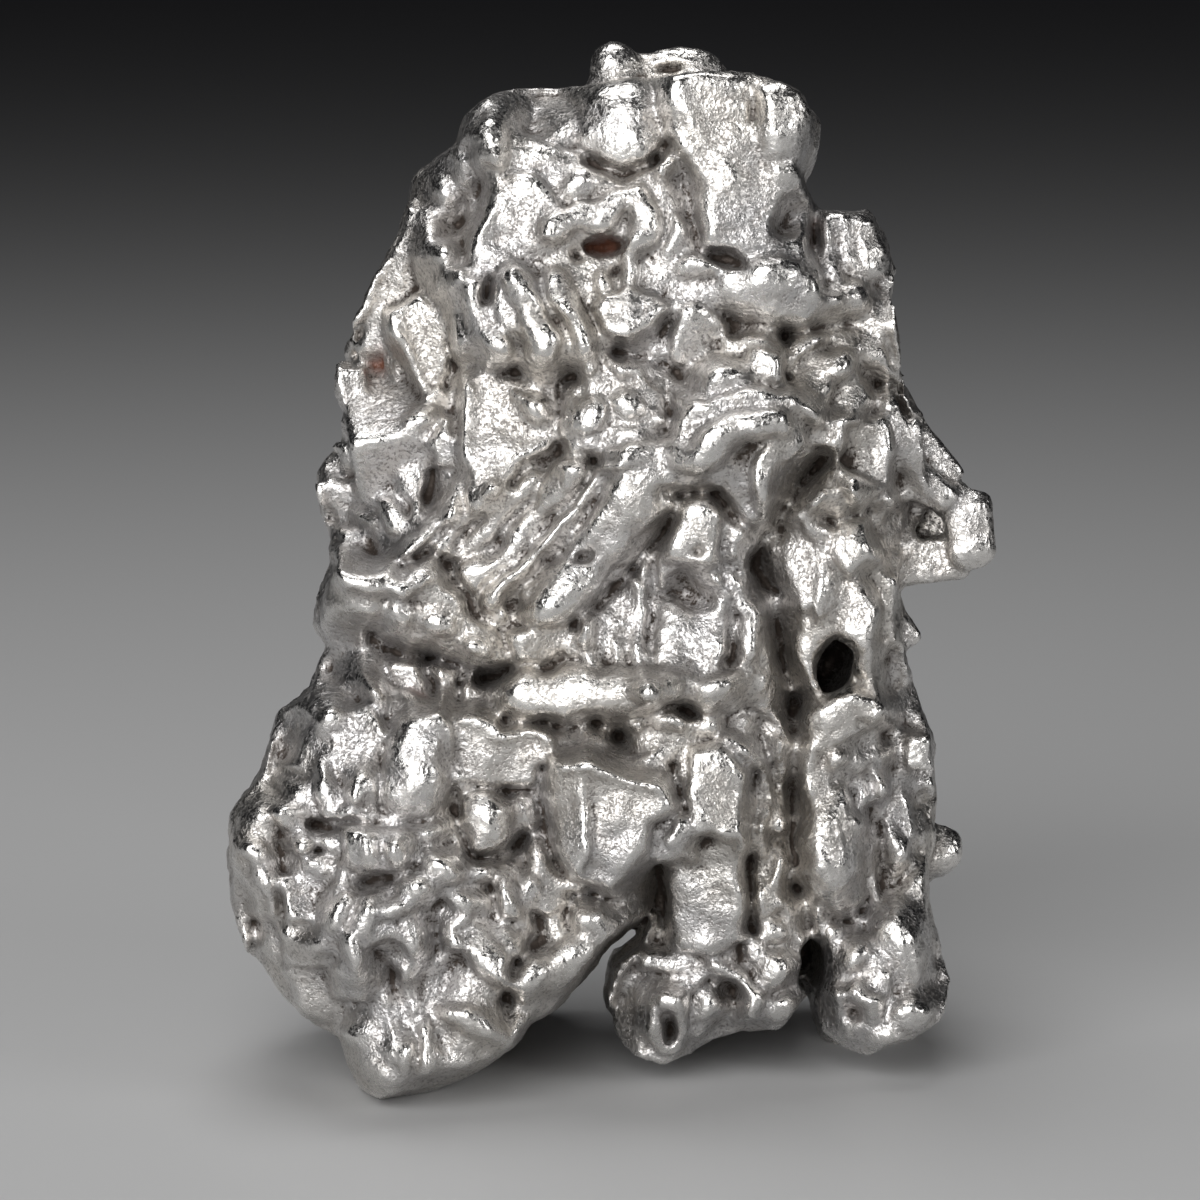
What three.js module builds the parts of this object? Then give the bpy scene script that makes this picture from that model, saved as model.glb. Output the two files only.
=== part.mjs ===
// Iron meteorite: a small coarse-grained iron individual standing on its broken end.
// Millimetres, +Z up. The worked face looks along -Y.
//
// The body is sculpted in a leaned frame of its own: across (to the right), up the face,
// and out (toward whoever faces it). The front of it is a depth over that face: an outline
// swollen to a pillow, then dips, blocks, bars, knobs, ridges, clefts and pits laid on in turn.
// The flanks and the back are grown over with packed crystal grains and loose blocks.
// The zero of the whole field is then skinned as one closed body and thinned.
import * as THREE from "three";

// Driving dimensions
const LEAN = (9 * Math.PI) / 180; // how far the face leans back from upright
const RIM = 5.0; // how far in from the outline the body goes on swelling
const FRONT = 6.2; // greatest depth before the middle plane
const BACK = 7.0; // greatest depth behind the middle plane
const CELL = [0.6, 0.6, 0.6]; // one cell of the skin: across, up, out
const MOST_FACES = 9900; // triangles left after thinning
const FARTHEST = 2; // how far from the middle of its edge a thinned point may go
const SHORT_FIRST = 0.002; // how much a short edge is preferred, where the strain is the same
const LEAST_COS = 0.35; // cosine of the most a triangle may turn in one thinning step
const SLIVER = 1e-3; // twice the least area of a triangle
const FINE = CELL[0] / 3; // side of one square of the face sheet
const FACE_GRAIN = 1.3; // swing of the large grains of the face
const SIDE_GRAIN = 1.5; // swing of the grains of the flanks and the back
const KNOB_RISE = 1.25; // factor on the heights of the knobs
const SIDE_BLOCKS = 260; // loose blocks and holes over the flanks and the back
const FACE_CHIPS = 260; // small blocks over the face, under the ones placed by hand
const BOX = [-18.5, -3.0, -16.5, 18.0, 45.0, 14.0]; // across, up, out: low corner then high corner
const REST = 0.12; // height the worn feet are cut at
const WORN = 0.22; // how much over that is worn down to the same flat

// The outline of the face: across, up
const OUTLINE = [
  [-0.8,40.4], [0.5,40.7], [1.5,40.6], [3.6,40.8], [5.0,40.8], [6.3,40.5], [7.3,40.0], [7.8,39.1],
  [7.75,38.1], [7.2,37.0], [7.7,35.9], [8.1,35.3],
  [10.2,35.2],[10.7,34.3],[11.0,33.0],[10.8,31.7],[11.0,31.1],[11.1,29.8],[11.2,28.4],[11.5,27.8],
  [12.0,26.6],[12.2,25.0],[12.2,23.4],[11.6,22.0],[11.2,20.8],[11.1,19.4],[11.2,18.0],
  [11.7,16.4], [12.0,15.3], [12.6,13.8], [12.8,12.2], [12.85,10.6], [12.7,8.2], [12.7,6.8],
  [13.2,5.0], [13.5,3.9], [13.1,2.5],
  [12.0,1.8], [10.9,1.5], [10.3,1.0], [9.5,1.3], [8.7,1.9], [8.4,3.3], [7.9,3.7], [7.3,3.1],
  [6.6,2.1], [4.9,2.0], [3.8,1.7], [2.9,1.0], [1.8,0.8],
  [0.8,1.1], [0.1,1.8], [0.0,3.2], [0.3,4.6], [1.3,5.3], [1.6,6.3], [2.3,7.6], [1.5,8.0], [1.0,6.9],
  [0.2,6.4],
  [-0.6,5.8], [-1.3,4.9], [-2.0,3.9], [-2.8,3.0], [-3.7,2.6], [-4.3,1.6], [-5.4,0.8], [-6.4,0.3],
  [-8.2,-0.1], [-9.6,-0.5], [-10.3,-0.1], [-10.8,1.2], [-11.0,2.0],
  [-12.2,2.5], [-13.3,3.6], [-14.6,5.4], [-15.2,7.2], [-15.45,9.4], [-15.5,10.7], [-15.0,11.4],
  [-14.2,12.2], [-13.8,13.6], [-13.5,14.7], [-12.3,15.7], [-11.9,16.6],
  [-11.4,17.7], [-12.0,18.6], [-11.8,20.1], [-11.3,21.0], [-11.6,22.5], [-12.0,24.6], [-11.2,26.0],
  [-10.8,27.2], [-11.1,28.7], [-10.9,30.1], [-10.0,31.4], [-9.6,32.6],
  [-8.7,34.2], [-8.1,35.8], [-7.9,36.9], [-7.1,37.7], [-6.4,38.2], [-6.1,39.3], [-5.2,40.0],
  [-4.2,40.3], [-2.2,40.35],
];

// Where the middle plane is pushed out or falls back: across, up, reach, push
const BULGES = [
  [-9.5,8.0,6.0,2.4], [-10.8,28.5,5.5,-2.8], [11.8,9.0,6.5,-4.6], [9.8,20.5,3.5,0.2],
  [0.0,26.0,6.0,1.2], [10.2,32.5,3.5,-0.6], [3.5,4.0,3.0,-1.4], [-6.5,37.5,4.0,-1.8],
  [1.0,11.5,3.5,1.0],
  [12.5,25.5,3.0,-1.6], [-11.5,20.5,4.0,-1.2],
];

// Broad falls of the face, laid first: across, up, half sizes, turn in degrees, depth
const DIPS = [
  // gutter between the head and the left flank, and the hollow left of the middle
  [-6.9,34.6,0.8,3.6,-6,1.2], [-7.2,29.4,0.7,2.6,6,1.0], [-9.6,24.4,1.8,2.0,0,0.9],
  [-7.6,23.6,0.9,2.4,-25,1.2],
  // under the jaw, under the lip
  [-7.0,16.5,3.6,1.0,-6,2.4], [-4.6,16.2,0.9,1.1,0,1.6], [-1.2,14.1,3.6,0.8,0,1.3],
  [0.2,14.6,0.8,0.7,0,1.2],
  // left of the crystal block, under the shield, beside the pillar
  [-4.6,9.8,2.0,3.2,-12,2.2], [-9.9,8.3,2.2,1.0,0,1.4], [-12.0,9.7,1.4,1.0,0,0.9],
  [6.2,9.2,1.2,5.6,0,2.0], [1.7,7.2,0.8,2.6,0,2.6],
  // the long right cleft and the notch above it
  [6.6,19.6,1.1,6.0,8,2.6], [7.2,24.2,1.6,1.0,30,1.6], [6.7,28.9,0.8,1.5,10,1.2],
  [0.3,19.6,0.9,1.6,0,1.0], [-4.2,21.6,3.2,2.4,40,0.9], [-1.0,29.0,5.4,0.8,-6,0.8],
  [10.2,23.0,2.4,0.9,0,1.6], [8.0,17.0,1.5,2.0,0,1.6], [7.9,4.6,0.8,1.6,0,2.4],
  [9.4,6.4,1.8,0.8,0,1.2],
  [-3.5,39.6,2.2,0.8,0,1.0], [1.2,37.2,1.4,0.7,0,0.8], [-13.6,6.0,0.8,2.0,20,0.8],
  [-8.0,5.9,2.6,0.9,0,0.8],
];

// Blocks: height over the surface, lean across, lean up, edge rounding, corners seen from the front
const PLATES = [
  // head: broad mass, then its leaning faces
  [0.9,0.02,-0.08,1.2,[[-5.8,38.7], [-4.4,38.6], [-1.2,37.6], [1.4,38.4], [4.2,38.2], [7.2,36.6],
  [7.6,34.0], [8.3,31.4], [6.2,30.2], [3.6,31.2], [0.6,29.9], [-0.8,29.3], [-1.7,28.7], [-2.8,29.1],
  [-4.6,29.1], [-6.0,30.3], [-6.5,31.8], [-5.8,33.5], [-5.5,36.5]]],
  [0.5,0.25,0.10,0.5,[[-5.0,36.2], [-4.6,34.2], [-3.4,33.4], [-2.6,34.0], [-2.4,35.6], [-3.2,36.6],
  [-4.4,37.0]]],
  [0.8,-0.20,-0.30,0.6,[[-4.6,33.0], [-3.4,32.6], [-2.0,31.8], [-1.0,30.4], [-1.4,29.0],
  [-3.2,29.4], [-4.6,30.2], [-5.2,31.6]]],
  [0.7,-0.12,-0.02,1.4,[[2.0,40.7], [5.0,40.9], [7.0,40.4], [7.9,38.8], [7.7,36.9], [7.0,35.6],
  [6.7,34.2], [7.6,33.2], [8.4,31.6], [7.4,30.5], [5.4,30.5], [4.0,31.6], [3.6,33.6], [3.0,36.0],
  [2.0,38.2]]],
  [1.0,0.05,-0.35,0.35,[[-0.95,31.0], [-0.5,31.6], [0.6,31.9], [1.7,31.7], [2.1,31.1], [1.5,30.4],
  [0.5,30.1], [-0.5,30.3]]],
  // middle band: cheek, round block, big right block
  [0.6,0.10,-0.20,0.6,[[-6.4,28.6], [-5.0,28.9], [-3.2,28.6], [-2.5,27.2], [-2.4,25.6], [-3.6,24.2],
  [-4.8,23.0], [-5.9,23.4], [-6.2,25.4], [-6.4,27.0]]],
  [0.4,0.25,0.25,0.4,[[-4.2,28.0],[-3.0,28.0],[-2.5,27.0],[-3.0,26.4],[-4.0,26.6]]],
  [0.7,0.05,-0.10,0.7,[[-2.2,27.6], [-1.4,28.9], [0.6,29.2], [1.8,28.2], [1.9,26.8], [1.0,25.5],
  [-0.8,25.3], [-2.1,25.9]]],
  [1.5,-0.10,0.42,0.5,[[1.7,25.1], [2.4,26.6], [3.2,27.7], [5.0,28.0], [7.0,27.8], [8.2,27.0],
  [8.2,25.7], [7.0,24.2], [5.3,22.4], [4.6,22.9], [3.8,24.0], [2.2,24.1]]],
  [0.4,-0.55,0.10,0.4,[[6.4,27.6], [8.1,27.0], [8.1,25.6], [6.8,24.0], [5.6,23.0], [5.4,24.4],
  [6.0,26.0]]],
  [0.6,0.20,-0.35,0.35,[[2.8,27.6],[4.0,28.8],[5.2,28.9],[5.0,27.9],[3.4,27.2]]],
  [0.5,0.1,-0.2,0.3,[[4.9,29.5],[6.4,29.4],[6.4,28.4],[5.0,28.3]]],
  [0.5,0.1,0.3,0.3,[[4.0,30.2],[6.2,30.2],[6.4,29.6],[4.2,29.3]]],
  // right shoulder
  [1.0,-0.30,-0.05,0.4,[[8.2,35.0], [9.0,35.4], [10.2,35.3], [10.8,34.3], [10.9,33.0], [10.2,32.4],
  [9.3,32.4], [8.8,33.2], [8.3,34.2]]],
  [1.1,-0.15,-0.30,0.5,[[9.2,31.3],[10.4,31.4],[11.0,30.6],[11.0,29.0],[10.0,28.9],[9.3,29.9]]],
  [0.7,0.35,-0.25,0.4,[[6.9,29.2],[7.8,29.5],[9.0,29.4],[9.2,28.6],[8.4,27.6],[7.4,28.2]]],
  [0.8,-0.20,-0.35,0.4,[[8.4,28.4],[9.6,28.6],[10.2,27.6],[9.6,26.8],[8.7,27.2]]],
  [0.5,0.20,0.45,0.35,[[7.6,26.9],[9.2,26.7],[10.0,26.0],[9.6,25.0],[8.3,25.0],[7.6,25.8]]],
  [-1.1,0.30,0.10,0.3,[[9.2,26.4],[10.7,27.0],[11.2,25.6],[11.0,24.0],[9.8,24.2],[8.9,24.8]]],
  // left flank: wavy band, leaning slab, rim slab
  [0.7,0.35,0.05,0.6,[[-8.0,37.0], [-6.8,37.8], [-6.1,36.8], [-6.0,35.0], [-6.6,33.2], [-7.4,32.6],
  [-7.9,34.6]]],
  [1.1,0.30,0.12,0.35,[[-9.3,31.5],[-8.0,32.0],[-7.1,30.8],[-7.0,29.0],[-7.9,27.7],[-8.5,29.2]]],
  [0.8,0.45,0.0,0.35,[[-10.9,30.6],[-10.3,30.8],[-9.9,29.4],[-9.3,27.0],[-9.9,26.6],[-10.5,28.2]]],
  [0.6,0.20,-0.35,0.35,[[-8.6,27.3],[-7.4,27.4],[-6.9,26.4],[-7.6,25.7],[-8.8,26.0]]],
  // small boxes and the finger left of the middle
  [0.7,0.25,-0.30,0.25,[[-9.9,23.7],[-9.1,23.9],[-8.4,23.0],[-8.7,22.3],[-9.5,22.5]]],
  [0.7,0.30,-0.25,0.25,[[-9.0,25.0],[-8.2,25.2],[-7.9,24.2],[-8.4,23.6],[-9.0,24.1]]],
  [0.7,0.10,-0.35,0.3,[[-11.2,22.3],[-10.2,22.5],[-9.6,21.6],[-10.3,20.8],[-11.1,21.2]]],
  // jaw ledge: bright step over a smooth under-face
  [1.4,0.05,0.40,0.45,[[-11.0,20.2], [-9.8,20.1], [-9.0,20.4], [-8.4,20.0], [-7.2,20.6],
  [-6.2,19.4], [-4.6,18.2], [-4.4,17.2], [-5.0,16.9], [-6.2,17.5], [-7.6,17.7], [-8.6,18.0],
  [-10.6,19.2]]],
  [0.8,-0.1,-0.55,0.3,[[-10.9,20.5], [-9.8,20.4], [-9.1,20.8], [-8.6,20.3], [-7.3,21.2],
  [-7.0,20.6], [-8.4,19.7], [-9.4,19.9], [-10.6,19.8]]],
  // crystals under the jaw
  [0.8,0.10,0.15,0.25,[[-9.0,17.2],[-7.9,17.2],[-7.8,16.1],[-8.8,15.8]]],
  [0.8,-0.15,0.20,0.25,[[-7.5,17.1],[-6.4,17.0],[-6.4,15.9],[-7.4,15.9]]],
  [0.6,-0.25,0.1,0.25,[[-6.1,16.6],[-5.2,16.3],[-5.3,15.4],[-6.0,15.4]]],
  // lower left: shield over its shadow, plate beside it, crystal block
  [0.7,0.05,0.42,0.55,[[-9.3,13.8], [-8.4,15.0], [-7.2,15.3], [-6.2,14.4], [-6.3,12.6], [-7.0,11.5],
  [-8.2,10.9], [-9.2,11.2], [-9.6,12.4]]],
  [0.9,0.25,-0.30,0.45,[[-11.4,15.0], [-10.2,15.2], [-9.4,14.2], [-9.8,12.8], [-11.0,12.6],
  [-11.6,13.8]]],
  [0.7,0.05,0.10,0.25,[[-6.3,15.1], [-5.0,14.9], [-4.4,14.5], [-3.8,14.7], [-2.6,14.4], [-2.5,13.0],
  [-3.3,12.2], [-5.4,12.1], [-6.2,13.2]]],
  [2.0,0.16,0.20,0.35,[[-2.6,13.3], [-1.3,13.5], [1.5,12.1], [1.9,11.2], [1.7,10.2], [0.9,9.4],
  [-0.3,8.1], [-1.5,8.7], [-2.3,10.2], [-2.7,12.0]]],
  [0.3,0.75,0.10,0.2,[[-2.6,13.3], [-1.6,13.3], [-1.3,11.4], [-1.0,9.8], [-1.5,8.7], [-2.3,10.2],
  [-2.7,12.0]]],
  // teeth under the shelf
  [0.9,0.05,0.20,0.3,[[-10.9,10.6],[-9.6,10.7],[-8.6,10.4],[-8.5,8.9],[-9.6,8.7],[-10.9,8.9]]],
  // left rim of the lobe and its slabs
  [0.9,0.40,0.0,0.5,[[-15.3,10.9], [-14.4,11.4], [-13.7,10.4], [-13.9,8.6], [-14.4,7.0],
  [-14.9,7.6], [-15.3,9.2]]],
  [0.9,-0.25,0.20,0.4,[[-14.0,11.2],[-12.8,11.6],[-11.9,11.2],[-12.0,10.6],[-13.2,10.4]]],
  [0.7,-0.30,-0.25,0.4,[[-13.5,8.6],[-12.2,8.8],[-11.3,7.8],[-11.8,6.7],[-13.0,6.9]]],
  [0.7,0.15,0.45,0.4,[[-13.4,4.6],[-12.0,5.0],[-10.9,4.3],[-10.8,2.6],[-11.6,2.3],[-12.8,3.2]]],
  [0.7,0.25,0.10,0.4,[[-14.5,6.6],[-13.6,6.9],[-13.0,5.4],[-13.4,4.3],[-14.2,5.2]]],
  // left foot: two faces meeting on a seam, with the wing to the right
  [0.9,0.35,-0.05,0.6,[[-10.3,4.6], [-9.2,5.2], [-8.2,4.6], [-7.8,2.6], [-7.8,0.2], [-9.6,0.0],
  [-10.5,1.4], [-10.6,3.2]]],
  [1.1,-0.25,-0.15,0.6,[[-8.2,5.0], [-6.6,5.4], [-5.0,4.6], [-4.4,3.2], [-5.0,1.6], [-6.6,0.6],
  [-7.9,0.4], [-7.8,2.6]]],
  [1.2,0.05,-0.45,0.45,[[-6.6,6.6],[-5.6,6.7],[-4.5,5.4],[-4.1,4.1],[-5.0,4.3],[-6.2,5.4]]],
  [1.0,-0.10,-0.50,0.5,[[-4.2,7.2], [-2.0,7.9], [0.6,7.6], [0.4,6.8], [-0.9,5.5], [-2.2,3.9],
  [-3.4,3.2], [-4.0,4.2], [-4.0,5.6]]],
  // middle pillar: shaft, then the rounded block it ends in
  [1.2,-0.15,-0.05,0.6,[[3.0,13.6],[4.2,13.8],[5.0,12.4],[5.1,9.6],[4.4,9.0],[3.0,9.4],[2.8,11.6]]],
  [1.7,0.25,0.22,0.55,[[2.4,9.2], [3.8,9.5], [4.9,9.0], [5.2,7.4], [5.0,5.6], [3.9,5.1], [2.6,5.3],
  [2.1,6.6], [2.1,8.0]]],
  [0.9,0.10,-0.50,0.3,[[1.2,10.6],[2.6,11.2],[3.0,10.2],[2.8,9.4],[1.6,9.2]]],
  [0.9,0.0,-0.30,0.3,[[0.8,5.1],[2.0,5.3],[3.7,4.9],[3.4,4.3],[2.2,4.3],[0.9,4.5]]],
  // right column: shield, upright faces, foot
  [1.3,0.15,0.10,0.7,[[7.2,11.4], [8.0,12.3], [9.2,12.0], [9.9,10.4], [9.9,8.6], [9.0,7.7],
  [8.0,8.0], [7.4,9.4]]],
  [0.9,-0.25,0.10,0.6,[[10.6,14.6], [11.6,14.4], [12.3,12.2], [12.3,8.6], [11.4,7.0], [10.8,9.0],
  [10.9,12.0]]],
  [1.2,0.10,-0.30,0.5,[[10.6,6.0],[11.7,6.4],[12.5,5.4],[12.4,4.0],[11.4,3.6],[10.6,4.4]]],
  // star of struts round the cave
  [1.0,0.0,0.35,0.3,[[7.9,15.2], [9.2,15.9], [10.4,15.6], [10.5,14.9], [9.6,14.0], [8.6,13.2],
  [8.4,14.2]]],
  [0.9,0.10,-0.10,0.3,[[8.9,20.4],[9.8,20.6],[10.4,19.0],[10.2,17.5],[9.2,17.8],[9.0,19.2]]],
  [0.9,-0.35,0.15,0.3,[[10.7,20.2],[11.3,20.0],[12.0,18.0],[11.2,17.7],[10.6,18.8]]],
  [0.8,0.10,-0.20,0.5,[[6.6,22.6],[7.6,22.9],[8.2,21.6],[7.9,19.8],[7.2,19.0],[6.7,20.6]]],
  [0.9,-0.10,-0.15,0.5,[[8.7,22.9],[9.9,22.8],[10.3,21.4],[9.4,20.6],[8.6,21.4]]],
  [0.7,0.30,0.10,0.5,[[7.0,18.8],[8.2,18.9],[8.9,17.8],[8.4,15.9],[7.4,15.7],[6.9,17.2]]],
  // centre column: arched head, face under the recess
  [1.0,0.05,0.05,0.5,[[2.0,22.6], [2.4,23.7], [3.4,23.9], [4.1,23.0], [4.2,21.2], [3.2,20.9],
  [2.0,21.1]]],
  [0.9,0.05,-0.30,0.35,[[1.8,19.2],[4.1,19.3],[4.3,17.6],[3.2,16.7],[1.7,17.2]]],
  [0.9,-0.30,0.05,0.4,[[4.3,21.2],[5.0,21.3],[5.8,19.6],[6.0,17.4],[5.2,16.8],[4.5,17.8]]],
  [0.7,0.15,0.25,0.35,[[-0.5,20.7],[0.4,20.9],[1.2,20.0],[1.2,18.4],[0.2,18.2],[-0.5,18.8]]],
  [1.0,-0.15,0.30,0.5,[[-4.3,18.2],[-3.2,18.7],[-1.8,18.4],[-1.7,17.2],[-3.0,16.8],[-4.2,17.0]]],
];

// Bars: height over the surface, half width, run
const BARS = [
  // the broad crossing bar and the lamellae beside it
  [1.6,1.0,[[1.5,24.6],[0.3,23.4],[-0.9,21.6],[-2.4,19.4]]],
  [1.0,0.34,[[0.5,25.4],[-1.0,23.7],[-2.2,22.3],[-3.6,20.9],[-5.0,19.8]]],
  [0.8,0.55,[[-1.7,24.9],[-3.1,23.1],[-4.4,21.7],[-5.8,20.6]]],
  [0.55,0.5,[[-3.2,24.3],[-4.6,22.9],[-6.3,21.6]]],
  [0.7,0.4,[[-4.9,23.9],[-5.9,22.9],[-6.9,21.9]]],
  [1.0,0.33,[[-6.8,23.7],[-7.6,22.5],[-8.5,21.3]]],
  // lip, thick at its left end
  [1.7,0.85,[[-3.7,15.6],[-2.4,15.6],[-1.0,15.8],[0.6,16.0],[1.6,16.0]]],
  [1.2,0.6,[[1.4,16.1],[2.8,16.4],[3.8,15.9],[4.8,16.1]]],
  // bright band of the big right block
  [1.2,0.55,[[0.2,25.1],[1.6,25.5],[3.0,25.4],[4.2,26.2],[5.4,26.7],[6.5,26.7]]],
  [0.9,0.42,[[4.4,20.8],[5.2,19.2],[5.1,17.4]]],
  // left finger of the lobe, ear of the head
  [0.9,0.45,[[-14.3,9.5],[-14.0,8.4],[-13.5,7.4]]],
  [0.8,0.4,[[-6.3,32.2],[-6.4,31.2],[-5.9,30.2],[-5.0,29.7]]],
  [0.7,0.36,[[-7.0,24.4],[-6.5,24.0],[-6.6,23.2]]],
  // rings at the middle foot and the right foot
  [0.8,0.30,[[3.9,4.6],[4.9,4.3],[5.5,3.6],[5.3,2.7],[4.7,2.2]]],
  [0.8,0.26,[[1.4,3.1],[1.2,2.2],[1.6,1.4],[2.3,1.4],[2.7,2.3],[2.3,3.1],[1.7,3.2]]],
  [0.8,0.26,[[9.3,3.8],[9.2,2.7],[9.7,1.9],[10.4,2.4],[10.4,3.4],[9.9,4.0]]],
  // curved band under the right shield
  [0.8,0.36,[[7.4,8.4],[8.0,7.5],[9.0,7.2],[10.0,7.8]]],
  [0.8,0.30,[[10.2,17.6],[10.1,16.4],[10.6,15.3]]],
  // ribs beside the pillar
  [0.8,0.26,[[5.4,13.0],[5.9,11.6],[5.6,10.2],[5.9,8.8]]],
  [0.7,0.24,[[6.5,13.6],[6.6,12.0],[6.3,10.4]]],
  [0.7,0.26,[[4.4,13.9],[5.0,13.2],[5.5,12.8]]],
  // fan of fingers at the foot of the head, arch over the eye pit and the ridge down from it
  [0.8,0.55,[[-4.2,32.4], [-3.6,30.9], [-3.0,29.5]]], [0.8,0.5,[[-2.7,32.2], [-2.0,30.8],
  [-1.4,29.6]]], [0.7,0.5,[[-5.7,31.8], [-5.3,30.6], [-4.8,29.6]]],
  [0.8,0.55,[[-2.6,34.6],[-1.6,35.2],[-0.8,34.9],[-0.2,35.7],[0.6,35.8],[1.0,34.8],[0.9,34.0]]],
  [0.5,0.28,[[0.6,34.0],[0.3,33.0],[0.6,32.2]]],
  // arcs over the round block
  [0.6,0.26,[[-1.2,28.7],[-0.7,29.3],[0.2,28.6],[1.3,29.0],[2.2,28.3],[2.8,27.4]]],
];

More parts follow.
